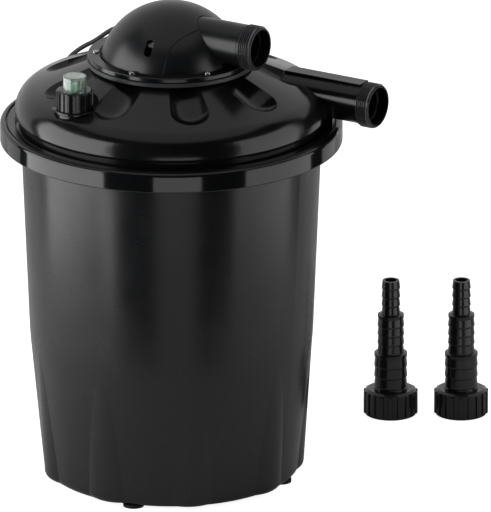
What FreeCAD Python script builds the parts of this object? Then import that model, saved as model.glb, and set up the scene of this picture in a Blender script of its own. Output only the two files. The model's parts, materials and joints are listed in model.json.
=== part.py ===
import FreeCAD, Part
import math
import os
import Sketcher

# Pond pressure filter: a lobed tank with a clamped lid, a lamp head, two ports,
# a sight gauge, two stepped hose adapters and a lead. Millimetres and degrees.
# The origin is on the tank's axis at floor level, +Z is up, and both ports point along +X.

SIZES = [
    # Tank
    ("foot_height", 3.5),
    ("foot_radius", 11.0),
    ("foot_circle", 122.0),
    ("foot_count", 4),
    ("foot_angle", 12.0),
    ("tank_wall", 4.0),
    ("base_radius", 134.3),
    ("base_round", 8.0),
    ("knee_radius", 149.1),
    ("knee_height", 155.0),
    ("knee_round", 400.0),
    ("mouth_radius", 158.0),
    ("tank_height", 378.0),
    ("rim_radius", 176.5),
    ("rim_thickness", 7.0),
    ("lobe_count", 9),
    ("lobe_angle", 30.5),
    ("lobe_crest", 139.0),
    ("lobe_radius", 41.0),
    ("lobe_fade", 0.35),
    ("seal_radius", 166.0),
    ("seal_width", 5.8),
    ("seal_groove", 4.0),
    ("loose_gap", 0.3),
    # Media inside the tank
    ("grid_height", 70.0),
    ("grid_thickness", 4.0),
    ("grid_hole_radius", 46.0),
    ("grid_leg_radius", 7.0),
    ("grid_leg_circle", 92.0),
    ("grid_leg_count", 6),
    ("slot_width", 5.0),
    ("slot_length", 32.0),
    ("slot_count", 18),
    ("slot_circle_inner", 22.0),
    ("slot_circle_outer", 58.0),
    ("foam_thickness", 61.0),
    ("foam_hole_radius", 45.0),
    ("foam_wall_gap", 1.5),
    # Lid
    ("lid_wall", 3.5),
    ("lid_gap", 1.0),
    ("flange_step", 6.6),
    ("flange_ring_outer", 173.2),
    ("flange_ring_inner", 163.7),
    ("flange_height", 9.5),
    ("lid_groove_depth", 5.5),
    ("skirt_radius", 160.0),
    ("rib_inner", 149.6),
    ("rib_outer", 153.2),
    ("rib_depth", 8.0),
    ("bulge_radius", 164.2),
    ("bulge_rise", 17.2),
    ("bulge_round", 6.0),
    ("shoulder_rise", 40.9),
    ("shoulder_round", 26.0),
    ("slope_angle", 22.5),
    ("neck_rise", 74.0),
    ("neck_radius", 70.0),
    ("neck_thickness", 4.5),
    ("scoop_radius", 28.0),
    ("scoop_low", 127.0),
    ("scoop_top", 86.0),
    ("scoop_depth_low", 9.6),
    ("scoop_depth_top", 4.6),
    # Clamp band and its latch
    ("band_radius", 180.0),
    ("band_wall", 2.8),
    ("band_drop", 10.0),
    ("band_rise", 11.0),
    ("band_lip", 174.7),
    ("band_foot_lip", 171.0),
    ("band_foot_thinning", 0.2),
    ("latch_angle", 108.0),
    ("band_gap_angle", 4.0),
    ("latch_drop", 6.8),
    ("latch_rise", 8.0),
    ("strap_thickness", 2.0),
    ("strap_gap", 0.1),
    ("ear_thickness", 2.6),
    ("ear_reach", 5.0),
    ("latch_pin_radius", 1.6),
    ("latch_pin_x", 29.0),
    ("latch_pin_y", 187.6),
    ("latch_head_radius", 2.5),
    ("latch_head_height", 0.8),
    ("pin_clearance", 0.05),
    ("lever_length", 74.0),
    ("lever_thickness", 2.4),
    ("link_pin_x", 5.0),
    ("link_pin_y", 185.0),
    ("link_bar_x", -25.0),
    ("link_bar_y", 184.8),
    ("link_plate", 2.0),
    ("link_bar_radius", 1.3),
    ("link_plate_gap", 0.25),
    ("link_plate_half", 2.5),
    ("lever_knuckle_wall", 2.2),
    ("lever_boss_wall", 1.5),
    ("lever_web_half", 3.0),
    ("lever_tip_length", 9.0),
    ("lever_tip_bend", 4.0),
    ("lever_tip_lift", 2.6),
    ("latch_foot_depth", 2.0),
    ("catch_thickness", 3.0),
    ("catch_width", 7.0),
    ("catch_lip", 0.8),
    ("bracket_start", -13.0),
    ("bracket_sweep", 10.5),
    ("catch_start", 2.5),
    ("catch_sweep", 8.5),
    # Ports
    ("pipe_bore", 20.0),
    ("pipe_inner_bore", 18.0),
    ("mouth_depth", 12.0),
    ("thread_root_radius", 22.4),
    ("thread_length", 17.0),
    ("outlet_y", 80.0),
    ("outlet_rise", 38.0),
    ("outlet_mouth", 205.0),
    ("outlet_pipe_radius", 21.3),
    ("outlet_inner_end", 96.0),
    ("outlet_rail_width", 17.0),
    ("outlet_rail_height", 23.6),
    ("fairing_radius", 172.4),
    ("inlet_rise", 108.0),
    ("inlet_mouth", 109.0),
    ("inlet_pipe_radius", 22.7),
    ("elbow_radius", 21.0),
    ("elbow_bend", 26.0),
    ("elbow_drop_x", 20.0),
    # Lamp head
    ("gasket_thickness", 1.2),
    ("gasket_inner_step", 2.0),
    ("plate_thickness", 4.6),
    ("plate_radius", 88.7),
    ("plug_depth", 6.0),
    ("plug_gap", 0.5),
    ("ring_outer", 87.5),
    ("ring_inner", 75.6),
    ("ring_lip", 2.6),
    ("dome_radius", 77.0),
    ("dome_rise", 63.0),
    ("dome_wall", 3.0),
    ("dome_flange", 82.0),
    ("dome_flange_thickness", 2.8),
    ("seam_gap", 0.5),
    ("panel_x", 30.0),
    ("panel_rise", 124.0),
    ("panel_round", 20.0),
    ("screw_count", 6),
    ("screw_angle", 30.0),
    ("screw_circle", 79.0),
    ("screw_radius", 1.9),
    ("screw_clearance", 0.1),
    ("screw_head_radius", 3.4),
    ("screw_head_height", 2.0),
    ("slot_angle", -81.1),
    ("slot_tilt", 36.7),
    ("view_slot_width", 8.5),
    ("view_slot_length", 19.0),
    ("lens_thickness", 1.6),
    ("lens_margin", 4.0),
    # Lamp, sleeve and tube
    ("sleeve_x", -20.0),
    ("sleeve_radius", 15.0),
    ("sleeve_wall", 1.6),
    ("sleeve_length", 262.0),
    ("sleeve_flange", 18.5),
    ("sleeve_hole_gap", 0.5),
    ("water_hole_radius", 17.5),
    ("lamp_tube_radius", 5.6),
    ("lamp_tube_spacing", 13.0),
    ("lamp_length", 232.0),
    ("tube_radius", 42.0),
    ("tube_wall", 2.5),
    ("tube_foot", 24.0),
    ("tube_flange", 62.0),
    ("tube_flange_thickness", 3.0),
    ("tube_notch_width", 18.0),
    ("tube_notch_height", 30.0),
    ("sleeve_seal_thickness", 1.4),
    ("sleeve_flange_thickness", 2.2),
    ("socket_height", 20.0),
    ("socket_drum", 12.0),
    ("socket_depth", 8.0),
    ("lamp_base_depth", 16.0),
    ("lamp_base_gap", 0.2),
    ("lamp_bridge_width", 5.0),
    ("lamp_bridge_height", 6.0),
    ("lamp_bridge_low", 4.0),
    ("ballast_length", 38.0),
    ("ballast_width", 21.5),
    ("ballast_height", 20.0),
    ("ballast_x", -21.0),
    ("ballast_y", 34.25),
    # Sight gauge
    ("gauge_angle", -108.0),
    ("gauge_circle", 133.0),
    ("gauge_boss_radius", 18.5),
    ("gauge_rise", 49.7),
    ("gauge_boss_depth", 6.0),
    ("gauge_hole_radius", 10.4),
    ("gauge_collar_radius", 21.0),
    ("gauge_collar_height", 3.0),
    ("gauge_tab_reach", 3.4),
    ("gauge_tab_angle", -149.0),
    ("gauge_stem_radius", 15.4),
    ("gauge_stem_height", 17.5),
    ("gauge_nut_radius", 19.8),
    ("gauge_nut_height", 21.0),
    ("gauge_rib_count", 18),
    ("gauge_glass_radius", 12.4),
    ("gauge_glass_flange", 15.2),
    ("gauge_glass_height", 18.6),
    ("gauge_glass_wall", 1.8),
    ("plunger_radius", 4.2),
    ("plunger_plate_radius", 9.8),
    ("plunger_travel", 6.0),
    ("plunger_guide", 9.0),
    ("plunger_plate_height", 7.0),
    ("plunger_plate_bevel", 1.2),
    ("gauge_glass_flange_thickness", 1.8),
    ("gauge_tab_width", 10.0),
    ("gauge_rib_depth", 1.5),
    ("gauge_nut_chamfer", 1.6),
    # Hose adapters
    ("adapter_one_x", 107.0),
    ("adapter_one_y", 273.0),
    ("adapter_two_x", 171.0),
    ("adapter_two_y", 312.0),
    ("adapter_nut_radius", 28.9),
    ("adapter_nut_height", 28.0),
    ("adapter_nut_bore", 24.2),
    ("adapter_nut_relief", 0.6),
    ("adapter_rib_count", 18),
    ("adapter_rib_depth", 1.8),
    ("adapter_nut_chamfer", 3.4),
    ("adapter_lip", 5.6),
    ("adapter_flange_radius", 22.6),
    ("adapter_flange_thickness", 3.4),
    ("adapter_gasket_thickness", 3.0),
    ("adapter_height", 149.0),
    ("large_tail_radius", 17.6),
    ("middle_tail_radius", 14.2),
    ("small_tail_radius", 9.9),
    ("tail_ring_step", 0.2),
    ("tail_bore_taper", 3.0),
    ("adapter_gasket_gap", 1.5),
    ("large_tail_bore", 13.2),
    ("middle_tail_bore", 9.8),
    ("small_tail_bore", 6.4),
    ("barb_height", 0.9),
    ("barb_lead", 0.8),
    ("large_tail_end", 68.0),
    ("middle_tail_end", 111.0),
    ("tail_ring_height", 3.4),
    # Lead
    ("lead_radius", 2.4),
    ("gland_angle", 156.0),
    ("gland_reach", 75.5),
    ("gland_rise", 30.6),
    ("gland_pitch", 18.0),
    ("gland_boss_radius", 6.2),
    ("gland_boss_length", 19.0),
    ("gland_stem_radius", 3.9),
    ("gland_nut_radius", 5.6),
    ("gland_nut_length", 3.5),
    ("gland_nut_across", 6.8),
    ("gland_nut_thickness", 3.6),
    ("relief_length", 17.0),
    ("relief_radius", 4.2),
    ("relief_tip_radius", 3.0),
    ("coil_x", -129.0),
    ("coil_y", 214.0),
    ("coil_radius", 34.95),
    ("coil_pitch", 5.3),
    ("coil_turns", 3),
    ("coil_layers", 4),
    ("plug_relief_length", 18.0),
    ("plug_nose_half", 5.5),
    ("plug_taper", 12.0),
    ("plug_length", 34.0),
    ("plug_width", 26.0),
    ("plug_height", 13.7),
    ("plug_pin_radius", 2.0),
    ("plug_pin_length", 19.0),
    ("plug_pin_spacing", 19.0),
]


class Size:
    """A size together with the sheet formula that gives it."""

    def __init__(self, value, formula):
        self.value = value
        self.formula = formula

    def joined(self, sign, other, value):
        return Size(value, f"({self.formula} {sign} {formula_of(other)})")

    def __add__(self, other):
        return self.joined("+", other, self.value + value_of(other))

    def __sub__(self, other):
        return self.joined("-", other, self.value - value_of(other))

    def __mul__(self, other):
        return self.joined("*", other, self.value * value_of(other))

    def __truediv__(self, other):
        return self.joined("/", other, self.value / value_of(other))

    def __neg__(self):
        return Size(-self.value, f"(0 - {self.formula})")


def value_of(size):
    return size.value if isinstance(size, Size) else float(size)


def formula_of(size):
    return size.formula if isinstance(size, Size) else repr(float(size))


def plain(number):
    return Size(float(number), repr(float(number)))


def root(size):
    return Size(math.sqrt(size.value), f"sqrt({size.formula})")


def sine(angle):
    return Size(math.sin(math.radians(angle.value)), f"sin({angle.formula})")


def cosine(angle):
    return Size(math.cos(math.radians(angle.value)), f"cos({angle.formula})")


def tangent(angle):
    return Size(math.tan(math.radians(angle.value)), f"tan({angle.formula})")


class SizeNames:
    """The sheet's sizes by name."""


doc = FreeCAD.newDocument("canister_filter")
sheet = doc.addObject("Spreadsheet::Sheet", "sizes")
s = SizeNames()
for row, (alias, value) in enumerate(SIZES, start=1):
    sheet.set(f"A{row}", alias)
    sheet.set(f"B{row}", str(value))
    sheet.setAlias(f"B{row}", alias)
    setattr(s, alias, Size(float(value), f"sizes.{alias}"))
doc.recompute()

nodes = []
used_names = set()


def unique(name):
    """A document name that no earlier object has."""
    number = 1
    found = name
    while found in used_names:
        number += 1
        found = f"{name}_{number}"
    used_names.add(found)
    return found


def node(thing, name):
    """Register a finished object as the sub-part of this name."""
    thing.Label = name
    nodes.append((name, thing))
    return thing


def bind(thing, path, size):
    """Tie one property of an object to the sheet."""
    if isinstance(size, Size):
        thing.setExpression(path, size.formula)
    else:
        setattr(thing, path, float(size))


def place(thing, x=0.0, y=0.0, z=0.0, axis=(0, 0, 1), angle=0.0):
    """Put an object at x, y, z, turned about an axis through it."""
    start = FreeCAD.Vector(value_of(x), value_of(y), value_of(z))
    turn = FreeCAD.Rotation(FreeCAD.Vector(*axis), value_of(angle))
    thing.Placement = FreeCAD.Placement(start, turn)
    for letter, size in (("x", x), ("y", y), ("z", z)):
        if isinstance(size, Size):
            thing.setExpression(f"Placement.Base.{letter}", size.formula)
    if isinstance(angle, Size):
        thing.setExpression("Placement.Rotation.Angle", angle.formula)
    return thing


# Sketches


def new_body(name):
    body = doc.addObject("PartDesign::Body", unique(name))
    return body


def sketch_on(body, role="XZ_Plane", turn=None, lift=None):
    """A sketch on one of the body's own planes, turned about Z or lifted off the plane."""
    sketch = body.newObject("Sketcher::SketchObject", unique(body.Name + "_sketch"))
    plane = [item for item in body.Origin.OriginFeatures if item.Role == role][0]
    sketch.AttachmentSupport = [(plane, "")]
    sketch.MapMode = "FlatFace"
    if turn is not None:
        rotation = FreeCAD.Rotation(FreeCAD.Vector(0, 1, 0), value_of(turn))
        sketch.AttachmentOffset = FreeCAD.Placement(FreeCAD.Vector(), rotation)
        if isinstance(turn, Size):
            sketch.setExpression("AttachmentOffset.Rotation.Angle", turn.formula)
    if lift is not None:
        raised = FreeCAD.Vector(0, 0, value_of(lift))
        sketch.AttachmentOffset = FreeCAD.Placement(raised, FreeCAD.Rotation())
        sketch.setExpression("AttachmentOffset.Base.z", formula_of(lift))
    return sketch


def fix_point(sketch, item, end, across, up):
    """Hold one point of a sketch at its place."""
    for kind, axis, size in (("DistanceX", -2, across), ("DistanceY", -1, up)):
        if not isinstance(size, Size) and float(size) == 0.0:
            sketch.addConstraint(Sketcher.Constraint("PointOnObject", item, end, axis))
            continue
        rule = Sketcher.Constraint(kind, -1, 1, item, end, value_of(size))
        index = sketch.addConstraint(rule)
        if isinstance(size, Size):
            sketch.setExpression(f"Constraints[{index}]", size.formula)


def fix_radius(sketch, item, radius):
    index = sketch.addConstraint(Sketcher.Constraint("Radius", item, value_of(radius)))
    if isinstance(radius, Size):
        sketch.setExpression(f"Constraints[{index}]", radius.formula)


def arc_between(start, end, centre, leftward):
    """The arc from start to end about a centre, and which of its ends comes first."""
    radius = (start - centre).Length
    first = math.atan2(start.y - centre.y, start.x - centre.x)
    last = math.atan2(end.y - centre.y, end.x - centre.x)
    circle = Part.Circle(centre, FreeCAD.Vector(0, 0, 1), radius)
    if leftward:
        return Part.ArcOfCircle(circle, first, last), 1, 2
    return Part.ArcOfCircle(circle, last, first), 2, 1


def draw(sketch, corners, arcs=None):
    """Draw a closed outline through corners (across, up) or (across, up, round).

    arcs gives the signed radius of the side that leaves a corner: positive has its centre
    on the left of the way round.
    """
    arcs = arcs or {}
    count = len(corners)
    points = [FreeCAD.Vector(value_of(c[0]), value_of(c[1]), 0) for c in corners]
    leave = []
    arrive = []
    middles = {}
    for i, corner in enumerate(corners):
        if len(corner) < 3:
            leave.append(points[i])
            arrive.append(points[i])
            continue
        back = (points[i - 1] - points[i]).normalize()
        ahead = (points[(i + 1) % count] - points[i]).normalize()
        half = back.getAngle(ahead) / 2
        reach = value_of(corner[2]) / math.tan(half)
        arrive.append(points[i] + back * reach)
        leave.append(points[i] + ahead * reach)
        middle = (back + ahead).normalize() * (value_of(corner[2]) / math.sin(half))
        middles[i] = points[i] + middle
    sides = []
    for i in range(count):
        start, end = leave[i], arrive[(i + 1) % count]
        if i in arcs:
            radius = value_of(arcs[i])
            chord = end - start
            rise = math.sqrt(max(0.0, radius * radius - chord.Length ** 2 / 4))
            left = FreeCAD.Vector(-chord.y, chord.x, 0).normalize()
            centre = (start + end) * 0.5 + left * math.copysign(rise, radius)
            curve, first, last = arc_between(start, end, centre, radius > 0)
            item = sketch.addGeometry(curve, False)
            fix_radius(sketch, item, arcs[i] if radius > 0 else -arcs[i])
            sides.append((item, first, last))
        else:
            item = sketch.addGeometry(Part.LineSegment(start, end), False)
            sides.append((item, 1, 2))
    for i, corner in enumerate(corners):
        before, _, before_end = sides[i - 1]
        after, after_start, _ = sides[i]
        if len(corner) < 3:
            rule = Sketcher.Constraint("Coincident", before, before_end, after, after_start)
            sketch.addConstraint(rule)
            fix_point(sketch, after, after_start, corner[0], corner[1])
            continue
        way_in = points[i] - points[i - 1]
        way_out = points[(i + 1) % count] - points[i]
        leftward = way_in.cross(way_out).z > 0
        curve, first, last = arc_between(arrive[i], leave[i], middles[i], leftward)
        item = sketch.addGeometry(curve, False)
        mark = sketch.addGeometry(Part.Point(points[i]), True)
        sketch.addConstraint(Sketcher.Constraint("PointOnObject", mark, 1, before))
        sketch.addConstraint(Sketcher.Constraint("PointOnObject", mark, 1, after))
        fix_point(sketch, mark, 1, corner[0], corner[1])
        sketch.addConstraint(Sketcher.Constraint("Tangent", before, before_end, item, first))
        sketch.addConstraint(Sketcher.Constraint("Tangent", item, last, after, after_start))
        fix_radius(sketch, item, corner[2])
    return sketch


def draw_circle(sketch, across, up, radius):
    centre = FreeCAD.Vector(value_of(across), value_of(up), 0)
    circle = Part.Circle(centre, FreeCAD.Vector(0, 0, 1), value_of(radius))
    item = sketch.addGeometry(circle, False)
    fix_point(sketch, item, 3, across, up)
    fix_radius(sketch, item, radius)
    return sketch


# Features


def turned(name, corners, arcs=None, angle=360.0):
    """A body turned about Z from an outline of (radius, height) corners."""
    body = new_body(name)
    sketch = draw(sketch_on(body), corners, arcs)
    feature = body.newObject("PartDesign::Revolution", unique(name + "_turn"))
    feature.Profile = sketch
    feature.ReferenceAxis = (sketch, ["V_Axis"])
    bind(feature, "Angle", angle)
    sketch.Visibility = False
    return body


def turned_along_x(name, corners, y=0.0, z=0.0):
    """A body turned about the X direction from an outline of (distance, radius) corners."""
    body = new_body(name)
    sketch = draw(sketch_on(body), corners)
    feature = body.newObject("PartDesign::Revolution", unique(name + "_turn"))
    feature.Profile = sketch
    feature.ReferenceAxis = (sketch, ["H_Axis"])
    feature.Angle = 360.0
    return place(body, 0.0, y, z)


def raised(name, corners, low, height, role="XY_Plane", both_ways=False, arcs=None):
    """A body padded from an outline, from a low level up by a height."""
    body = new_body(name)
    sketch = draw(sketch_on(body, role, lift=low), corners, arcs)
    feature = body.newObject("PartDesign::Pad", unique(name + "_pad"))
    feature.Profile = sketch
    feature.Midplane = both_ways
    bind(feature, "Length", height)
    return body


def turned_about(body, kind, corners, around, turn, arcs=None):
    """Add or cut a turned form whose axis is the sketch line from one point to another."""
    sketch = draw(sketch_on(body, turn=turn), corners, arcs)
    first, last = around
    ends = [FreeCAD.Vector(value_of(p[0]), value_of(p[1]), 0) for p in (first, last)]
    line = sketch.addGeometry(Part.LineSegment(*ends), True)
    fix_point(sketch, line, 1, *first)
    fix_point(sketch, line, 2, *last)
    feature = body.newObject(f"PartDesign::{kind}", unique(body.Name + "_turn"))
    feature.Profile = sketch
    feature.ReferenceAxis = (sketch, ["Axis0"])
    feature.Angle = 360.0
    return feature


def around_z(body, features, count):
    """Repeat features evenly round the body's Z axis."""
    axis = [item for item in body.Origin.OriginFeatures if item.Role == "Z_Axis"][0]
    pattern = body.newObject("PartDesign::PolarPattern", unique(body.Name + "_ring"))
    pattern.Originals = features
    pattern.Axis = (axis, [""])
    pattern.Angle = 360.0
    if isinstance(count, Size):
        pattern.Occurrences = int(count.value)
        pattern.setExpression("Occurrences", count.formula)
    else:
        pattern.Occurrences = count
    body.Tip = pattern
    return pattern


def pocket_through(body, sketch, length, reverse=False):
    feature = body.newObject("PartDesign::Pocket", unique(body.Name + "_pocket"))
    feature.Profile = sketch
    feature.Midplane = True
    feature.Reversed = reverse
    bind(feature, "Length", length)
    return feature


def cylinder(name, radius, height, x=0.0, y=0.0, z=0.0, axis=(0, 0, 1), angle=0.0):
    thing = doc.addObject("Part::Cylinder", unique(name))
    bind(thing, "Radius", radius)
    bind(thing, "Height", height)
    return place(thing, x, y, z, axis, angle)


def box(name, low, high):
    """A block from its low corner to its high corner."""
    thing = doc.addObject("Part::Box", unique(name))
    for side, first, last in zip(("Length", "Width", "Height"), low, high):
        if isinstance(first, Size) or isinstance(last, Size):
            difference = plain(value_of(last)) if not isinstance(last, Size) else last
            bind(thing, side, difference - first)
        else:
            bind(thing, side, float(last) - float(first))
    return place(thing, *low)


def cut(name, base, *tools):
    thing = doc.addObject("Part::Cut", unique(name))
    thing.Base = base
    thing.Tool = tools[0] if len(tools) == 1 else fuse(name + "_tools", *tools)
    return thing


def fuse(name, *things):
    thing = doc.addObject("Part::MultiFuse", unique(name))
    thing.Shapes = list(things)
    return thing


def common(name, first, second):
    thing = doc.addObject("Part::Common", unique(name))
    thing.Base = first
    thing.Tool = second
    return thing


def group(name, *things):
    thing = doc.addObject("Part::Compound", unique(name))
    thing.Links = list(things)
    return thing


def ring_places(count, circle, first_angle):
    """The x and y of each place on a circle, with its angle."""
    for i in range(int(value_of(count))):
        angle = (plain(360.0 * i) / count) + first_angle
        yield circle * cosine(angle), circle * sine(angle), angle


# Heights and outlines that several pieces share

band_seat = s.tank_height - s.rim_thickness
band_bottom = s.tank_height - s.band_drop
band_top = s.tank_height + s.band_rise
latch_low = s.tank_height - s.latch_drop
latch_high = s.tank_height + s.latch_rise
bulge_low = s.tank_height + s.bulge_rise
shoulder_height = s.tank_height + s.shoulder_rise
neck_height = s.tank_height + s.neck_rise
gauge_seat = s.tank_height + s.gauge_rise
outlet_z = s.tank_height + s.outlet_rise
inlet_z = s.tank_height + s.inlet_rise
dome_centre = s.tank_height + s.dome_rise
panel_top = s.tank_height + s.panel_rise
gland_height = dome_centre + s.gland_rise
lid_bottom = s.tank_height + s.lid_gap
flange_top = lid_bottom + s.flange_height
slope_rise = tangent(s.slope_angle)
lid_top_radius = s.bulge_radius - (neck_height - shoulder_height) / slope_rise
plate_low = neck_height + s.gasket_thickness
plate_high = plate_low + s.plate_thickness
dome_low = plate_high
flange_high = dome_low + s.dome_flange_thickness
ring_high = flange_high + s.ring_lip
gauge_x = s.gauge_circle * cosine(s.gauge_angle)
gauge_y = s.gauge_circle * sine(s.gauge_angle)
base_taper = (s.knee_radius - s.base_radius) / (s.knee_height - s.foot_height)
upper_taper = (s.mouth_radius - s.knee_radius) / (band_seat - s.knee_height)
# How far a cutter runs past what it cuts
past = plain(20.0)
# A slot's round ends take this share of its half width
full_round = 0.98


def tank_radius(height):
    """Outer radius of the tank's wall between its lobes at a height."""
    if value_of(height) < s.knee_height.value:
        return s.base_radius + (height - s.foot_height) * base_taper
    return s.knee_radius + (height - s.knee_height) * upper_taper


def slope_height(radius):
    """Height of the lid's sloping face at a radius."""
    return shoulder_height + (s.bulge_radius - radius) * slope_rise


def sphere_radius(radius, height):
    """Radius at which a ball about the dome's centre passes a height."""
    rise = height - dome_centre
    return root(radius * radius - rise * rise)


# Tank


def tank_form(name, inset, floor, top):
    """The tank's turned wall with its lobes, drawn in by a wall.

    Each lobe is a round rib that leans out less than the wall does, and so fades out below
    the knee. Its foot is square to its own line.
    """
    body = turned(name, [
        (0.0, floor),
        (tank_radius(floor) - inset, floor, s.base_round),
        (s.knee_radius - inset, s.knee_height, s.knee_round),
        (s.mouth_radius - inset, band_seat),
        (s.mouth_radius - inset, top),
        (0.0, top),
    ])
    radius = s.lobe_radius - inset
    axis_low = s.lobe_crest - s.lobe_radius
    axis_high = s.knee_radius - s.lobe_fade - s.lobe_radius
    lean = (axis_high - axis_low) / (s.knee_height - s.foot_height)
    start = floor + radius * lean
    axis_start = axis_low + (start - s.foot_height) * lean
    lobe = turned_about(body, "Revolution", [
        (axis_start, start),
        (axis_low + (floor - s.foot_height) * lean + radius, floor, s.base_round),
        (axis_high + radius, s.knee_height),
        (axis_high, s.knee_height),
    ], ((axis_start, start), (axis_high, s.knee_height)), s.lobe_angle)
    around_z(body, [lobe], s.lobe_count)
    return body


def make_tank():
    outside = tank_form("tank_outside", plain(0.0), s.foot_height, s.tank_height)
    floor = s.foot_height + s.tank_wall
    inside = tank_form("tank_inside", s.tank_wall, floor, s.tank_height + 1.0)
    rim = turned("tank_rim", [
        (s.mouth_radius - s.tank_wall / 2.0, band_seat),
        (s.rim_radius, band_seat),
        (s.rim_radius, s.tank_height),
        (s.mouth_radius - s.tank_wall / 2.0, s.tank_height),
    ])
    seal_in = s.seal_radius - s.seal_width / 2.0 - s.loose_gap
    seal_out = s.seal_radius + s.seal_width / 2.0 + s.loose_gap
    seal_floor = s.tank_height - s.seal_groove
    channel = turned("seal_channel", [
        (seal_in, seal_floor),
        (seal_out, seal_floor),
        (seal_out, s.tank_height + 1.0),
        (seal_in, s.tank_height + 1.0),
    ])
    shell = fuse("tank_walls", outside, rim)
    node(cut("tank_shell", shell, inside, channel), "tank_shell")
    seal = turned("lid_seal", [
        (seal_in + s.loose_gap, seal_floor),
        (seal_out - s.loose_gap, seal_floor),
        (seal_out - s.loose_gap, lid_bottom - s.loose_gap, 1.6),
        (seal_in + s.loose_gap, lid_bottom - s.loose_gap, 1.6),
    ])
    node(seal, "lid_seal")
    feet = [
        cylinder("foot", s.foot_radius, s.foot_height, x, y)
        for x, y, _ in ring_places(s.foot_count, s.foot_circle, s.foot_angle)
    ]
    node(group("feet", *feet), "feet")


def slotted_disc(name, radius, low, slot_circles):
    """A flat grid with a round hole and rings of radial slots."""
    body = turned(name, [
        (s.grid_hole_radius, low),
        (radius, low),
        (radius, low + s.grid_thickness),
        (s.grid_hole_radius, low + s.grid_thickness),
    ])
    half = s.slot_width / 2.0
    for circle in slot_circles:
        sketch = sketch_on(body, "XY_Plane", lift=low)
        draw(sketch, [
            (circle - s.slot_length / 2.0, -half),
            (circle + s.slot_length / 2.0, -half),
            (circle + s.slot_length / 2.0, half),
            (circle - s.slot_length / 2.0, half),
        ])
        slot = pocket_through(body, sketch, s.grid_thickness * 4.0)
        around_z(body, [slot], s.slot_count)
    return body


def make_media():
    inset = s.tank_wall + s.foam_wall_gap
    grid_radius = tank_radius(s.grid_height) - inset
    floor = s.foot_height + s.tank_wall
    circles = [s.grid_hole_radius + s.slot_circle_inner, s.grid_hole_radius + s.slot_circle_outer]
    disc = slotted_disc("bottom_grid_disc", grid_radius, s.grid_height, circles)
    turn = plain(180.0) / s.slot_count
    legs = [
        cylinder("grid_leg", s.grid_leg_radius, s.grid_height - floor, x, y, floor)
        for x, y, _ in ring_places(s.grid_leg_count, s.grid_leg_circle, turn)
    ]
    node(fuse("bottom_grid", disc, *legs), "bottom_grid")
    low = s.grid_height + s.grid_thickness + s.loose_gap
    for number in range(1, 5):
        radius = tank_radius(low) - inset
        foam = turned("foam_ring", [
            (s.foam_hole_radius, low),
            (radius, low, 2.0),
            (radius, low + s.foam_thickness, 2.0),
            (s.foam_hole_radius, low + s.foam_thickness),
        ])
        node(foam, f"foam_ring_{number}")
        low = low + s.foam_thickness + s.loose_gap
    top = slotted_disc("top_grid", radius - 1.0, low, circles)
    node(top, "top_grid")


# Lid


def lid_form(name, wall, outer):
    """The lid's outer form, or its hollow when outer is false."""
    drop = wall / cosine(s.slope_angle)
    shoulder = shoulder_height - drop
    bulge = s.bulge_radius - wall
    rib_low = lid_bottom - s.rib_depth
    if outer:
        corners = [
            (0.0, rib_low),
            (s.rib_outer, rib_low),
            (s.rib_outer, lid_bottom),
            (s.rim_radius, lid_bottom),
            (s.rim_radius, lid_bottom + s.flange_step),
            (s.flange_ring_outer, lid_bottom + s.flange_step),
            (s.flange_ring_outer, flange_top, 1.0),
            (s.flange_ring_inner, flange_top, 1.0),
            (s.flange_ring_inner, flange_top - s.lid_groove_depth),
            (s.skirt_radius, flange_top - s.lid_groove_depth),
            (s.skirt_radius, bulge_low),
            (bulge, bulge_low, s.bulge_round - 2.2),
            (bulge, shoulder, s.shoulder_round),
            (lid_top_radius, neck_height),
            (0.0, neck_height),
        ]
    else:
        under_neck = neck_height - s.neck_thickness
        neck_corner = s.bulge_radius - (under_neck - shoulder) / slope_rise - wall
        corners = [
            (0.0, rib_low - 1.0),
            (s.rib_inner, rib_low - 1.0),
            (s.rib_inner, lid_bottom + 1.0),
            (s.skirt_radius - wall, lid_bottom + 6.0),
            (s.skirt_radius - wall, bulge_low + wall),
            (bulge, bulge_low + wall),
            (bulge, shoulder + (wall * slope_rise), s.shoulder_round - wall),
            (neck_corner + wall, under_neck),
            (0.0, under_neck),
        ]
    body = turned(name, corners)
    cutter = s.scoop_radius + wall
    low_surface = slope_height(s.scoop_low)
    top_surface = slope_height(s.scoop_top)
    lift = s.scoop_radius / cosine(s.slope_angle)
    axis_low = (s.scoop_low, low_surface + lift - s.scoop_depth_low / cosine(s.slope_angle))
    axis_top = (s.scoop_top, top_surface + lift - s.scoop_depth_top / cosine(s.slope_angle))
    run = s.scoop_low - s.scoop_top
    rise = axis_top[1] - axis_low[1]
    length = root(run * run + rise * rise)
    across = cutter * (rise / length)
    down = cutter * (run / length)
    nose = (s.scoop_low + cutter * (run / length), axis_low[1] - cutter * (rise / length))
    scoop = turned_about(body, "Groove", [
        (axis_top[0], axis_top[1]),
        (axis_top[0] - across, axis_top[1] - down),
        (axis_low[0] - across, axis_low[1] - down),
        nose,
    ], (nose, axis_top), s.lobe_angle, {2: cutter})
    around_z(body, [scoop], s.lobe_count)
    return body


def outlet_tunnel(name, width, radius, low):
    """The straight-sided housing under the outlet pipe, rounded off to the lid's flange."""
    block = box(name + "_block", (s.outlet_inner_end, s.outlet_y - width, low),
                (radius + past, s.outlet_y + width, outlet_z))
    drum = cylinder(name + "_drum", radius, outlet_z - low, z=low)
    return common(name, block, drum)


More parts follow.
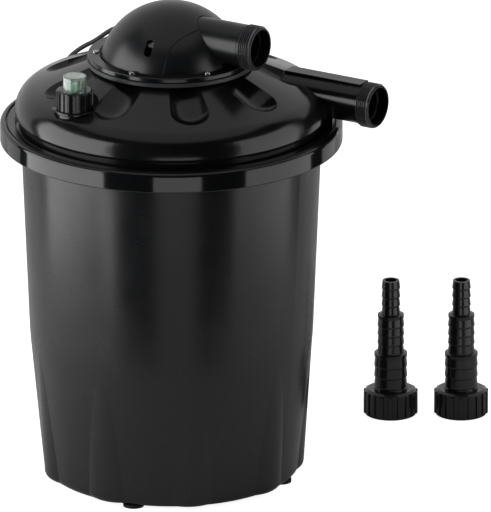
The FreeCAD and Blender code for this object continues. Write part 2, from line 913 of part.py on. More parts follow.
def make_lid():
    outer = lid_form("lid_outside", plain(0.0), True)
    inner = lid_form("lid_inside", s.lid_wall, False)
    tunnel = outlet_tunnel("outlet_housing", s.outlet_pipe_radius, s.fairing_radius,
                           flange_top - s.lid_groove_depth)
    hollow = outlet_tunnel("outlet_hollow", s.outlet_pipe_radius - s.lid_wall,
                           s.fairing_radius - s.lid_wall, flange_top + s.lid_wall)
    thread_start = s.outlet_mouth - s.thread_length
    pipe = turned_along_x("outlet_pipe", [
        (s.outlet_inner_end, 0.0),
        (s.outlet_inner_end, s.outlet_pipe_radius),
        (thread_start, s.outlet_pipe_radius),
        (thread_start, s.thread_root_radius),
        (s.outlet_mouth, s.thread_root_radius, 0.8),
        (s.outlet_mouth, 0.0),
    ], s.outlet_y, outlet_z)
    rail_half = s.outlet_rail_width / 2.0
    rail = box("outlet_rail", (s.outlet_inner_end, s.outlet_y - rail_half, outlet_z),
               (thread_start, s.outlet_y + rail_half, outlet_z + s.outlet_rail_height))
    bore = turned_along_x("outlet_bore", [
        (s.outlet_inner_end - 1.0, 0.0),
        (s.outlet_inner_end - 1.0, s.pipe_inner_bore),
        (s.outlet_mouth - s.mouth_depth, s.pipe_inner_bore),
        (s.outlet_mouth - s.mouth_depth, s.pipe_bore),
        (s.outlet_mouth + 1.0, s.pipe_bore),
        (s.outlet_mouth + 1.0, 0.0),
    ], s.outlet_y, outlet_z)
    neck = cylinder("neck_hole", s.neck_radius, past * 2.0, z=neck_height - past)
    boss = cylinder("gauge_boss", s.gauge_boss_radius, s.gauge_boss_depth, gauge_x, gauge_y,
                    gauge_seat - s.gauge_boss_depth)
    recess_radius = s.gauge_collar_radius + s.gauge_tab_reach + s.loose_gap
    pad = cylinder("gauge_pad", recess_radius + s.lid_wall, past * 2.0, gauge_x, gauge_y,
                   gauge_seat - s.lid_wall)
    recess = cylinder("gauge_recess", recess_radius, past * 2.0, gauge_x, gauge_y, gauge_seat)
    gauge_hole = cylinder("gauge_hole", s.gauge_hole_radius, past * 2.0, gauge_x, gauge_y,
                          gauge_seat - past)
    screw_holes = head_holes("lid_screw_hole")
    solid = fuse("lid_walls", outer, tunnel, pipe, rail)
    carved = cut("lid_carved", solid, inner, hollow, bore)
    bossed = fuse("lid_bossed", carved, boss, common("gauge_floor", outer, pad))
    node(cut("lid_shell", bossed, neck, gauge_hole, recess, *screw_holes), "lid_shell")


def make_band():
    body = new_body("clamp_band")
    start = s.latch_angle + s.band_gap_angle / 2.0
    sketch = sketch_on(body, turn=start)
    draw(sketch, [
        (s.band_foot_lip, band_bottom),
        (s.band_radius, band_bottom, 1.6),
        (s.band_radius, band_top, 3.6),
        (s.band_lip, band_top),
        (s.band_lip, band_top - s.band_wall),
        (s.band_radius - s.band_wall, band_top - s.band_wall),
        (s.band_radius - s.band_wall, band_bottom + s.band_wall - s.band_foot_thinning),
        (s.band_foot_lip, band_bottom + s.band_wall - s.band_foot_thinning),
    ])
    feature = body.newObject("PartDesign::Revolution", "clamp_band_turn")
    feature.Profile = sketch
    feature.ReferenceAxis = (sketch, ["V_Axis"])
    bind(feature, "Angle", plain(360.0) - s.band_gap_angle)
    node(body, "clamp_band")


def in_latch_frame(thing):
    """Turn a piece drawn with +Y outwards to the latch's place on the band."""
    return place(thing, 0.0, 0.0, 0.0, (0, 0, 1), s.latch_angle - 90.0)


def strap(name, start_angle, sweep):
    """A curved plate riveted on the outside of the band."""
    inner = s.band_radius + s.strap_gap
    body = new_body(name)
    sketch = draw(sketch_on(body, turn=s.latch_angle + start_angle), [
        (inner, latch_low),
        (inner + s.strap_thickness, latch_low),
        (inner + s.strap_thickness, latch_high),
        (inner, latch_high),
    ])
    feature = body.newObject("PartDesign::Revolution", unique(name + "_turn"))
    feature.Profile = sketch
    feature.ReferenceAxis = (sketch, ["V_Axis"])
    bind(feature, "Angle", sweep)
    return body


def latch_pin(name, x, y, low, high):
    """A pin with a riveted head at each end."""
    head = s.latch_head_height
    return place(turned(name + "_turned", [
        (0.0, low - head),
        (s.latch_head_radius, low - head),
        (s.latch_head_radius, low),
        (s.latch_pin_radius, low),
        (s.latch_pin_radius, high),
        (s.latch_head_radius, high),
        (s.latch_head_radius, high + head),
        (0.0, high + head),
    ]), x, y)


def latch_way(name, x, y):
    """The bore of a latch pin, right through the latch."""
    return cylinder(name, s.latch_pin_radius + s.pin_clearance, past * 2.0, x, y, latch_low - past)


def make_latch():
    pin_x, pin_y = s.latch_pin_x, s.latch_pin_y
    link_x, link_y = s.link_pin_x, s.link_pin_y
    bar_x, bar_y = s.link_bar_x, s.link_bar_y
    ear_foot = s.band_radius - s.latch_foot_depth
    ears = []
    for low in (latch_low, latch_high - s.ear_thickness):
        ears.append(box("latch_ear", (pin_x - s.ear_reach, ear_foot, low),
                        (pin_x + s.ear_reach, pin_y + s.ear_reach - 1.0, low + s.ear_thickness)))
    inside = cylinder("latch_ear_seat", s.band_radius + s.strap_gap, past * 2.0, z=latch_low - past)
    bracket = cut("latch_ears", fuse("latch_ear_pair", *ears), inside, latch_way("ear_hole", pin_x, pin_y))
    plate = strap("latch_strap", s.bracket_start, s.bracket_sweep)
    node(fuse("latch_bracket_form", plate, in_latch_frame(bracket)), "latch_bracket")
    middle = (latch_low + latch_high) / 2.0
    finger_low = bar_x + s.link_bar_radius + s.loose_gap
    finger = box("latch_catch_finger", (finger_low, ear_foot, middle - s.catch_width / 2.0),
                 (finger_low + s.catch_thickness, bar_y + s.link_bar_radius + s.catch_lip,
                  middle + s.catch_width / 2.0))
    catch = in_latch_frame(cut("latch_catch_hook", finger, inside))
    plate = strap("catch_strap", s.catch_start, s.catch_sweep)
    node(fuse("latch_catch_form", plate, catch), "latch_catch")
    pin = latch_pin("latch_pin", pin_x, pin_y, latch_low - s.pin_clearance * 2.0,
                    latch_high + s.pin_clearance * 2.0)
    node(in_latch_frame(group("latch_pin_piece", pin)), "latch_pin")
    lever_low = latch_low + s.ear_thickness + s.loose_gap
    lever_high = latch_high - s.ear_thickness - s.loose_gap
    height = lever_high - lever_low
    face = pin_y
    back = face + s.lever_thickness
    end_x = pin_x - s.lever_length
    knuckle = cylinder("lever_knuckle", s.latch_pin_radius + s.lever_knuckle_wall, height, pin_x, pin_y,
                       lever_low)
    boss = cylinder("lever_boss", s.latch_pin_radius + s.lever_boss_wall, height, link_x, link_y,
                    lever_low)
    web = box("lever_web", (link_x - s.lever_web_half, link_y, lever_low),
              (link_x + s.lever_web_half, back, lever_high))
    arm = raised("lever_arm", [
        (end_x, face),
        (pin_x, face),
        (pin_x, back),
        (end_x + s.lever_tip_bend, back, 6.0),
        (end_x - s.lever_tip_length, back + s.lever_tip_lift),
        (end_x - s.lever_tip_length, face + s.lever_tip_lift),
    ], lever_low, height)
    ways = [latch_way("lever_link_hole", link_x, link_y), latch_way("lever_pin_hole", pin_x, pin_y)]
    lever = cut("lever_form", fuse("lever_solid", knuckle, boss, web, arm), *ways)
    node(in_latch_frame(lever), "latch_lever")
    lower = lever_low - s.link_plate_gap - s.link_plate
    upper = lever_high + s.link_plate_gap
    half = s.link_plate_half
    plates = [
        box("link_plate", (bar_x - half, bar_y - half, low),
            (link_x + half, bar_y + half, low + s.link_plate))
        for low in (lower, upper)
    ]
    bar = cylinder("link_bar", s.link_bar_radius, upper + s.link_plate - lower, bar_x, bar_y, lower)
    link = cut("link_form", fuse("link_solid", bar, *plates), latch_way("link_pin_way", link_x, link_y))
    node(in_latch_frame(link), "latch_link")
    pin = latch_pin("link_pin", link_x, link_y, lower - s.pin_clearance * 2.0,
                    upper + s.link_plate + s.pin_clearance * 2.0)
    node(in_latch_frame(group("link_pin_piece", pin)), "link_pin")


# Lamp head


def head_holes(name):
    """Clearance holes for the head's screws, from the lid's neck up through the ring."""
    return [
        cylinder(name, s.screw_radius + s.screw_clearance, past * 2.0, x, y, neck_height - past)
        for x, y, _ in ring_places(s.screw_count, s.screw_circle, s.screw_angle)
    ]


def make_head_plate():
    gasket = turned("neck_gasket_ring", [
        (s.neck_radius + s.gasket_inner_step, neck_height),
        (lid_top_radius - s.loose_gap, neck_height),
        (lid_top_radius - s.loose_gap, plate_low),
        (s.neck_radius + s.gasket_inner_step, plate_low),
    ])
    node(cut("neck_gasket", gasket, *head_holes("gasket_screw_hole")), "neck_gasket")
    plug = neck_height - s.plug_depth
    plate = turned("head_plate_disc", [
        (0.0, plug),
        (s.neck_radius - s.plug_gap, plug, 1.0),
        (s.neck_radius - s.plug_gap, plate_low),
        (s.plate_radius, plate_low, 0.8),
        (s.plate_radius, plate_high, 0.8),
        (0.0, plate_high),
    ])
    water = cylinder("plate_water_hole", s.water_hole_radius, past * 2.0, s.elbow_drop_x, 0.0,
                     neck_height - past)
    sleeve = cylinder("plate_sleeve_hole", s.sleeve_radius + s.sleeve_hole_gap, past * 2.0,
                      s.sleeve_x, 0.0, neck_height - past)
    holes = head_holes("plate_screw_hole")
    node(cut("head_plate", plate, water, sleeve, *holes), "head_plate")


def make_retaining_ring():
    inner_wall = s.dome_flange + 0.3
    ring = turned("retaining_ring_form", [
        (inner_wall, plate_high + 0.4),
        (s.ring_outer, plate_high + 0.4, 0.6),
        (s.ring_outer, ring_high, 0.8),
        (s.ring_inner, ring_high, 0.8),
        (s.ring_inner, flange_high),
        (inner_wall, flange_high),
    ])
    node(cut("retaining_ring", ring, *head_holes("ring_screw_hole")), "retaining_ring")
    screws = []
    for x, y, _ in ring_places(s.screw_count, s.screw_circle, s.screw_angle):
        shank_low = neck_height - s.neck_thickness + 0.6
        shank = cylinder("screw_shank", s.screw_radius, ring_high - shank_low, x, y, shank_low)
        head = cylinder("screw_head", s.screw_head_radius, s.screw_head_height, x, y, ring_high)
        screws.append(fuse("ring_screw", shank, head))
    node(group("ring_screws", *screws), "ring_screws")


def dome_form(name):
    """The dome's thin shell with its flange."""
    top = dome_centre + s.dome_radius
    inner = s.dome_radius - s.dome_wall
    return turned(name, [
        (0.0, top - s.dome_wall),
        (sphere_radius(inner, dome_low), dome_low),
        (s.dome_flange, dome_low),
        (s.dome_flange, flange_high),
        (sphere_radius(s.dome_radius, flange_high), flange_high),
        (0.0, top),
    ], {0: -inner, 4: s.dome_radius})


def panel_region(name, gap):
    """The part of the dome that the inlet housing takes up, drawn in by a gap."""
    return raised(name, [
        (s.panel_x + gap, dome_low - 3.0),
        (s.dome_radius + past, dome_low - 3.0),
        (s.dome_radius + past, panel_top - gap),
        (s.panel_x + gap, panel_top - gap, s.panel_round),
    ], plain(0.0), s.dome_radius * 3.0, role="XZ_Plane", both_ways=True)


def make_dome():
    shell = dome_form("dome_form")
    opening = panel_region("panel_opening", plain(0.0))
    pipe_way = cylinder("pipe_way", s.inlet_pipe_radius + s.seam_gap, s.inlet_mouth, 0.0, 0.0, inlet_z,
                        (0, 1, 0), 90.0)
    half = s.view_slot_length / 2.0
    side = s.view_slot_width / 2.0
    slot = new_body("view_slot")
    sketch = draw(sketch_on(slot, "XY_Plane"), [
        (-half, -side, side * full_round),
        (half, -side, side * full_round),
        (half, side, side * full_round),
        (-half, side, side * full_round),
    ])
    pad = slot.newObject("PartDesign::Pad", "view_slot_pad")
    pad.Profile = sketch
    pad.Length = 120.0
    turn = FreeCAD.Rotation(FreeCAD.Vector(0, 0, 1), s.slot_angle.value)
    turn = turn * FreeCAD.Rotation(FreeCAD.Vector(0, 1, 0), 90.0 - s.slot_tilt.value)
    slot.Placement = FreeCAD.Placement(FreeCAD.Vector(0, 0, dome_centre.value), turn)
    gland_hole = along_gland(cylinder("gland_hole", s.gland_stem_radius + 0.1, 60.0), -40.0)
    gland_boss = along_gland(cylinder("gland_boss", s.gland_boss_radius, s.gland_boss_length),
                             -s.gland_boss_length.value)
    shell = fuse("dome_walls", shell, gland_boss)
    holes = head_holes("dome_screw_hole")
    node(cut("dome_cover", shell, opening, pipe_way, slot, gland_hole, *holes), "dome_cover")
    lens_outer = s.dome_radius - s.dome_wall - 0.1
    ball = doc.addObject("Part::Sphere", "lens_ball")
    bind(ball, "Radius", lens_outer)
    place(ball, z=dome_centre)
    core = doc.addObject("Part::Sphere", "lens_core")
    bind(core, "Radius", lens_outer - s.lens_thickness)
    place(core, z=dome_centre)
    margin = s.lens_margin
    block = doc.addObject("Part::Box", "lens_block")
    bind(block, "Length", s.view_slot_length + margin * 2.0)
    bind(block, "Width", s.view_slot_width + margin * 2.0)
    block.Height = 100.0
    corner = FreeCAD.Vector(-(s.view_slot_length / 2.0 + margin).value,
                            -(s.view_slot_width / 2.0 + margin).value, 0)
    block.Placement = slot.Placement.multiply(FreeCAD.Placement(corner, FreeCAD.Rotation()))
    shell_part = cut("lens_shell", ball, core)
    node(common("window_lens", shell_part, block), "window_lens")


def make_inlet():
    shell = dome_form("panel_form")
    region = panel_region("panel_block", s.seam_gap)
    panel = common("panel_part", shell, region)
    thread_start = s.inlet_mouth - s.thread_length
    bend_x = s.elbow_drop_x + s.elbow_bend
    pipe = turned_along_x("inlet_pipe", [
        (s.panel_x + 1.0, 0.0),
        (s.panel_x + 1.0, s.inlet_pipe_radius),
        (thread_start, s.inlet_pipe_radius),
        (thread_start, s.thread_root_radius),
        (s.inlet_mouth, s.thread_root_radius, 0.8),
        (s.inlet_mouth, 0.0),
    ], 0.0, inlet_z)
    bore = turned_along_x("inlet_bore", [
        (bend_x, 0.0),
        (bend_x, s.pipe_inner_bore),
        (s.inlet_mouth - s.mouth_depth, s.pipe_inner_bore),
        (s.inlet_mouth - s.mouth_depth, s.pipe_bore),
        (s.inlet_mouth + 1.0, s.pipe_bore),
        (s.inlet_mouth + 1.0, 0.0),
    ], 0.0, inlet_z)
    bend_z = inlet_z - s.elbow_bend
    outside = elbow("elbow_outside", s.elbow_radius, bend_x, bend_z)
    inside = elbow("elbow_inside", s.pipe_inner_bore, bend_x, bend_z)
    drop = cylinder("elbow_drop", s.elbow_radius, bend_z - plate_high, s.elbow_drop_x, 0.0, plate_high)
    drop_bore = cylinder("elbow_drop_bore", s.pipe_inner_bore, bend_z - plate_high + 1.0,
                         s.elbow_drop_x, 0.0, plate_high - 1.0)
    solid = fuse("inlet_walls", panel, pipe, outside, drop)
    holes = head_holes("panel_screw_hole")
    node(cut("inlet_housing", solid, bore, inside, drop_bore, *holes), "inlet_housing")


def elbow(name, radius, x, z):
    """A quarter bend from the level pipe down to the plate."""
    thing = doc.addObject("Part::Torus", name)
    bind(thing, "Radius1", s.elbow_bend)
    bind(thing, "Radius2", radius)
    thing.Angle3 = 90.0
    thing.Placement = FreeCAD.Placement(
        FreeCAD.Vector(value_of(x), 0, value_of(z)),
        FreeCAD.Rotation(FreeCAD.Vector(-1, 0, 0), FreeCAD.Vector(0, 0, 1), FreeCAD.Vector(0, 1, 0)))
    thing.setExpression("Placement.Base.x", formula_of(x))
    thing.setExpression("Placement.Base.z", formula_of(z))
    return thing


def make_lamp():
    flange_low = plate_high + s.sleeve_seal_thickness
    seal = turned("sleeve_seal", [
        (s.sleeve_radius + 0.7, plate_high),
        (s.sleeve_flange, plate_high),
        (s.sleeve_flange, flange_low),
        (s.sleeve_radius + 0.7, flange_low),
    ])
    node(place(seal, x=s.sleeve_x), "sleeve_seal")
    sleeve_low = flange_low - s.sleeve_length
    inside = s.sleeve_radius - s.sleeve_wall
    flange_high_z = flange_low + s.sleeve_flange_thickness
    sleeve = turned("quartz_sleeve", [
        (0.0, sleeve_low),
        (s.sleeve_radius, sleeve_low, 8.0),
        (s.sleeve_radius, flange_low),
        (s.sleeve_flange, flange_low),
        (s.sleeve_flange, flange_high_z),
        (inside, flange_high_z),
        (inside, sleeve_low + s.sleeve_wall, 6.0),
        (0.0, sleeve_low + s.sleeve_wall),
    ])
    node(place(sleeve, x=s.sleeve_x), "quartz_sleeve")
    socket_high = flange_high_z + s.socket_height
    socket_floor = flange_high_z + s.socket_depth
    socket = turned("lamp_socket", [
        (inside, flange_high_z),
        (s.sleeve_flange, flange_high_z),
        (s.sleeve_flange, flange_high_z + s.socket_drum, 2.0),
        (s.sleeve_radius, socket_high, 2.0),
        (0.0, socket_high),
        (0.0, socket_floor),
        (inside, socket_floor),
    ])
    node(place(socket, x=s.sleeve_x), "lamp_socket")
    base_low = flange_high_z - s.lamp_base_depth
    base = cylinder("lamp_base", inside - s.lamp_base_gap, socket_floor - base_low, s.sleeve_x, 0.0, base_low)
    tubes = [
        cylinder("lamp_tube", s.lamp_tube_radius, s.lamp_length, s.sleeve_x,
                 s.lamp_tube_spacing * side, base_low - s.lamp_length)
        for side in (-0.5, 0.5)
    ]
    bridge_low = base_low - s.lamp_length + s.lamp_bridge_low
    half = s.lamp_bridge_width / 2.0
    bridge = box("lamp_bridge", (s.sleeve_x - half, s.lamp_tube_spacing * -0.5, bridge_low),
                 (s.sleeve_x + half, s.lamp_tube_spacing * 0.5, bridge_low + s.lamp_bridge_height))
    node(fuse("uv_lamp", base, bridge, *tubes), "uv_lamp")
    tube_top = neck_height - s.plug_depth
    tube = turned("central_tube_form", [
        (s.tube_radius - s.tube_wall, s.tube_foot),
        (s.tube_radius, s.tube_foot),
        (s.tube_radius, tube_top - s.tube_flange_thickness),
        (s.tube_flange, tube_top - s.tube_flange_thickness),
        (s.tube_flange, tube_top),
        (s.tube_radius - s.tube_wall, tube_top),
    ])
    notch = sketch_on(tube, "XZ_Plane")
    half = s.tube_notch_width / 2.0
    draw(notch, [
        (-half, s.tube_foot - 5.0),
        (half, s.tube_foot - 5.0),
        (half, s.tube_foot + s.tube_notch_height, half * full_round),
        (-half, s.tube_foot + s.tube_notch_height, half * full_round),
    ])
    way = pocket_through(tube, notch, s.tube_radius * 3.0)
    around_z(tube, [way], 4)
    node(tube, "central_tube")
    long = s.ballast_length / 2.0
    wide = s.ballast_width / 2.0
    case = raised("ballast_box", [
        (s.ballast_x - long, s.ballast_y - wide, 3.0),
        (s.ballast_x + long, s.ballast_y - wide, 3.0),
        (s.ballast_x + long, s.ballast_y + wide, 3.0),
        (s.ballast_x - long, s.ballast_y + wide, 3.0),
    ], plate_high, s.ballast_height)
    node(case, "ballast_box")


# Sight gauge


def knurled(name, radius, low, height, bore, count, rib, chamfer):
    """A nut blank with upright grip ribs standing on a plain drum."""
    drum = turned(name + "_drum", [
        (bore, low),
        (radius - rib, low),
        (radius - rib, low + height - chamfer * 0.5),
        (radius - rib - chamfer, low + height),
        (bore, low + height),
    ])
    sketch = sketch_on(drum, "XY_Plane", lift=low + chamfer * 0.4)
    half = radius * (math.pi / value_of(count) * 0.52)
    draw(sketch, [
        (radius - rib * 2.0, -half),
        (radius, -half * 0.7),
        (radius, half * 0.7),
        (radius - rib * 2.0, half),
    ])
    pad = drum.newObject("PartDesign::Pad", unique(name + "_rib"))
    pad.Profile = sketch
    bind(pad, "Length", height - chamfer * 1.2)
    around_z(drum, [pad], count)
    return drum


def make_gauge():
    seat = gauge_seat
    collar_high = seat + s.gauge_collar_height
    stem_high = collar_high + s.gauge_stem_height
    collar = turned("gauge_collar", [
        (s.plunger_radius + 0.4, seat),
        (s.gauge_collar_radius, seat, 0.8),
        (s.gauge_collar_radius, collar_high, 0.8),
        (s.gauge_stem_radius, collar_high),
        (s.gauge_stem_radius, stem_high),
        (s.gauge_glass_radius - s.gauge_glass_wall, stem_high),
        (s.gauge_glass_radius - s.gauge_glass_wall, stem_high - s.plunger_guide),
        (s.plunger_radius + 0.4, stem_high - s.plunger_guide),
    ])
    half = s.gauge_tab_width / 2.0
    root_end = s.gauge_collar_radius - s.gauge_collar_height
    tip_end = s.gauge_collar_radius + s.gauge_tab_reach - s.loose_gap * 2.0
    tabs = [
        box("gauge_tab", (root_end, -half, seat), (tip_end, half, collar_high)),
        box("gauge_tab", (-tip_end, -half, seat), (-root_end, half, collar_high)),
    ]
    bush = fuse("gauge_bush_form", collar, *tabs)
    place(bush, gauge_x, gauge_y, 0.0, (0, 0, 1), s.gauge_tab_angle)
    node(bush, "gauge_bush")
    glass_low = stem_high + s.loose_gap
    glass_high = glass_low + s.gauge_glass_height
    inside = s.gauge_glass_radius - s.gauge_glass_wall
    glass = turned("gauge_glass", [
        (inside, glass_low),
        (s.gauge_glass_flange, glass_low),
        (s.gauge_glass_flange, glass_low + s.gauge_glass_flange_thickness),
        (s.gauge_glass_radius, glass_low + s.gauge_glass_flange_thickness),
        (s.gauge_glass_radius, glass_high, 1.4),
        (0.0, glass_high),
        (0.0, glass_high - s.gauge_glass_wall),
        (inside, glass_high - s.gauge_glass_wall),
    ])
    node(place(glass, gauge_x, gauge_y), "gauge_glass")
    nut_low = collar_high + s.loose_gap
    nut_high = nut_low + s.gauge_nut_height
    blank = knurled("gauge_nut", s.gauge_nut_radius, nut_low, s.gauge_nut_height,
                    s.gauge_glass_radius + s.loose_gap, s.gauge_rib_count, s.gauge_rib_depth,
                    s.gauge_nut_chamfer)
    well_high = glass_low + s.gauge_glass_flange_thickness + s.loose_gap
    well = cylinder("gauge_nut_well", s.gauge_stem_radius + s.loose_gap, well_high - nut_low + 1.0,
                    z=nut_low - 1.0)
    nut = cut("gauge_nut_form", blank, well)
    node(place(nut, gauge_x, gauge_y), "gauge_nut")
    disc_low = stem_high - s.plunger_guide + s.loose_gap
    disc_high = disc_low + s.plunger_plate_height
    disc_rim = disc_high + s.plunger_plate_bevel
    plunger_high = glass_high - s.gauge_glass_wall - s.plunger_travel - 1.0
    plunger = turned("indicator_plunger", [
        (0.0, seat + 1.0),
        (s.plunger_radius, seat + 1.0),
        (s.plunger_radius, disc_low),
        (s.plunger_plate_radius, disc_low),
        (s.plunger_plate_radius, disc_high),
        (s.plunger_plate_radius - s.plunger_plate_bevel, disc_rim),
        (s.plunger_radius, disc_rim),
        (s.plunger_radius, plunger_high, 1.2),
        (0.0, plunger_high),
    ])
    node(place(plunger, gauge_x, gauge_y), "indicator_plunger")


# Hose adapters


def barbs(low, high, radius, count):
    """Outline corners of saw-tooth barbs that each narrow upwards, from low to high."""
    step = (high - low) / count
    corners = []
    for i in range(count):
        start = low + step * float(i)
        corners.append((radius - s.barb_height, start))
        corners.append((radius, start + s.barb_lead))
        corners.append((radius, start + s.barb_lead * 2.5))
    corners.append((radius - s.barb_height, high))
    return corners


def make_adapter(number, x, y):
    nut_high = s.adapter_nut_height
    lip_low = nut_high - s.adapter_lip
    flange_high_z = lip_low - s.loose_gap
    flange_low = flange_high_z - s.adapter_flange_thickness
    neck = s.large_tail_radius
    gasket_low = flange_low - s.adapter_gasket_thickness
    thread_end = gasket_low - s.loose_gap
    blank = knurled(f"adapter_nut_{number}_blank", s.adapter_nut_radius, plain(0.0), nut_high,
                    neck + s.loose_gap, s.adapter_rib_count, s.adapter_rib_depth,
                    s.adapter_nut_chamfer)
    thread = cylinder("adapter_nut_thread", s.adapter_nut_bore, thread_end + 1.0, z=plain(-1.0))
    relief = cylinder("adapter_nut_relief", s.adapter_nut_bore + s.adapter_nut_relief,
                      lip_low - thread_end, z=thread_end)
    nut = cut(f"adapter_nut_{number}_form", blank, thread, relief)
    node(place(nut, x, y), f"adapter_nut_{number}")
    gasket = turned("adapter_gasket", [
        (s.large_tail_bore + s.adapter_gasket_gap, gasket_low),
        (s.adapter_flange_radius, gasket_low),
        (s.adapter_flange_radius, flange_low),
        (s.large_tail_bore + s.adapter_gasket_gap, flange_low),
    ])
    node(place(gasket, x, y), f"adapter_gasket_{number}")
    ring = s.tail_ring_height
    outline = [(s.large_tail_bore, flange_low), (s.adapter_flange_radius, flange_low),
               (s.adapter_flange_radius, flange_high_z), (neck, flange_high_z), (neck, nut_high + 1.0)]
    outline += barbs(nut_high + 2.0, s.large_tail_end - ring, neck, 3)
    outline += [(neck, s.large_tail_end - ring), (neck, s.large_tail_end)]
    outline += barbs(s.large_tail_end, s.middle_tail_end - ring, s.middle_tail_radius, 4)[1:]
    outline += [(s.middle_tail_radius - s.tail_ring_step, s.middle_tail_end - ring),
                (s.middle_tail_radius - s.tail_ring_step, s.middle_tail_end)]
    outline += barbs(s.middle_tail_end, s.adapter_height, s.small_tail_radius, 4)[1:]
    bores = [
        (s.small_tail_bore, s.adapter_height),
        (s.small_tail_bore, s.middle_tail_end - ring),
        (s.middle_tail_bore, s.middle_tail_end - ring - s.tail_bore_taper),
        (s.middle_tail_bore, s.large_tail_end - ring),
        (s.large_tail_bore, s.large_tail_end - ring - s.tail_bore_taper),
    ]
    tail = turned(f"hose_tail_{number}", outline + bores)
    node(place(tail, x, y), f"hose_tail_{number}")


# Lead


def gland_placement():
    """Where the lead's gland stands on the dome: its Z axis runs out and a little down."""
    heading = math.radians(s.gland_angle.value)
    pitch = math.radians(s.gland_pitch.value)
    out = FreeCAD.Vector(math.cos(heading) * math.cos(pitch), math.sin(heading) * math.cos(pitch),
                         -math.sin(pitch))
    start = FreeCAD.Vector(math.cos(heading) * s.gland_reach.value,
                           math.sin(heading) * s.gland_reach.value, gland_height.value)
    return FreeCAD.Placement(start, FreeCAD.Rotation(FreeCAD.Vector(0, 0, 1), out))


def along_gland(thing, distance):
    """Put a piece at a distance along the gland's axis."""
    step = FreeCAD.Placement(FreeCAD.Vector(0, 0, distance), FreeCAD.Rotation())
    thing.Placement = gland_placement().multiply(step)
    return thing


# The lead's route by hand: off the dome, over the lid, down behind the tank, along the floor
LEAD_ROUTE = [
    (-86.83, 38.66, 465.25),
    (-94.6, 42.12, 462.48),
    (-106.2, 44.4, 454.9),
    (-122.3, 47.0, 441.8),
    (-138.6, 50.5, 432.2),
    (-157.4, 57.3, 417.8),
    (-171.5, 62.4, 402.0),
    (-178.5, 65.0, 378.0),
    (-182.8, 66.5, 345.0),
    (-185.4, 67.5, 292.0),
    (-186.8, 68.0, 236.0),
    (-187.2, 68.2, 176.0),
    (-187.0, 68.8, 116.0),
    (-186.6, 70.8, 62.0),
    (-185.6, 77.0, 27.0),
    (-182.6, 93.0, 8.0),
    (-175.3, 119.0, 2.6),
    (-168.2, 149.0, 2.4),
    (-163.95, 180.0, 2.4),
    (-163.95, 214.0, 2.4),
]
# The lead's last stretch, from the top of the coil down to its plug
LEAD_END = [
    (-169.25, 214.0, 18.3),
    (-169.25, 232.0, 18.3),
    (-170.6, 250.0, 12.0),
    (-172.8, 266.0, 6.85),
    (-175.3, 282.0, 6.85),
]


def rounded_path(points):
    """Straight runs joined by tangent arcs, each as large as its two runs allow."""
    places = [FreeCAD.Vector(*point) for point in points]
    edges = []
    start = places[0]
    for before, corner, after in zip(places, places[1:], places[2:]):
        back = before - corner
        ahead = after - corner
        shorter = min(back.Length, ahead.Length)
        back.normalize()
        ahead.normalize()
        turn = math.pi - back.getAngle(ahead)
        reach = 0.45 * shorter
        radius = reach / math.tan(turn / 2)
        middle = (back + ahead).normalize()
        to_centre = radius / math.cos(turn / 2)
        print("lead bend radius", round(radius, 1), "turn", round(math.degrees(turn), 1))
        first = corner + back * reach
        last = corner + ahead * reach
        edges.append(Part.LineSegment(start, first).toShape())
        edges.append(Part.Arc(first, corner + middle * (to_centre - radius), last).toShape())
        start = last
    edges.append(Part.LineSegment(start, places[-1]).toShape())
    return Part.Wire(edges)


def tube(path, radius):
    """A round solid along a path."""
    first = path.Edges[0]
    start = first.valueAt(first.FirstParameter)
    heading = first.tangentAt(first.FirstParameter)
    section = Part.Wire(Part.makeCircle(radius, start, heading))
    shell = Part.BRepOffsetAPI.MakePipeShell(path)
    shell.add(section)
    shell.build()
    shell.makeSolid()
    solid = shell.shape()
    expected = math.pi * radius ** 2 * path.Length
    print("tube length", round(path.Length, 1), "volume ratio", round(solid.Volume / expected, 4))
    return solid


def coil_path():
    """Half turns that spiral in and out, one layer on another, and climb where they reverse."""
    step = s.coil_pitch.value / 2
    radii = []
    layers = int(s.coil_layers.value)
    half_turns = int(s.coil_turns.value) * 2
    for layer in range(layers):
        inwards = [(s.coil_radius.value - step * i, layer, layer) for i in range(half_turns)]
        radii += inwards if layer % 2 == 0 else inwards[::-1]
        if layer < layers - 1:
            turning = -half_turns if layer % 2 == 0 else 1
            radii.append((s.coil_radius.value + step * turning, layer, layer + 1))
    radii.pop()
    x = s.coil_x.value - s.coil_radius.value
    edges = []
    for number, (radius, low, high) in enumerate(radii):
        side = 1 if number % 2 == 0 else -1
        start = FreeCAD.Vector(x, s.coil_y.value, s.lead_radius.value + s.coil_pitch.value * low)
        end = start + FreeCAD.Vector(2 * side * radius, 0, s.coil_pitch.value * (high - low))
        for first, between, last in quarter_arcs(start, end, FreeCAD.Vector(0, side, 0)):
            edges.append(Part.Arc(first, between, last).toShape())
        x = end.x
    return Part.Wire(edges)


def quarter_arcs(start, end, heading):
    """A half turn as two equal arcs, each given by its first, middle and last point."""
    reach = (end - start).Length / 2
    across = (end - start).normalize()
    top = (start + end) * 0.5 + heading * reach
    inset = reach * (math.sqrt(2) - 1)
    first_middle = start + heading * reach + (across - heading).normalize() * inset
    last_middle = end + heading * reach - (across + heading).normalize() * inset
    return (start, first_middle, top), (top, last_middle, end)


def least_gap(path, radius):
    """Least clear distance between turns, from points along the path."""
    spots = path.discretize(Number=800)
    spacing = path.Length / 799
    skip = int(60.0 / spacing)
    least = 1e9
    for i, spot in enumerate(spots):
        for other in spots[i + skip:]:
            least = min(least, spot.distanceToPoint(other))
    return least - 2 * radius


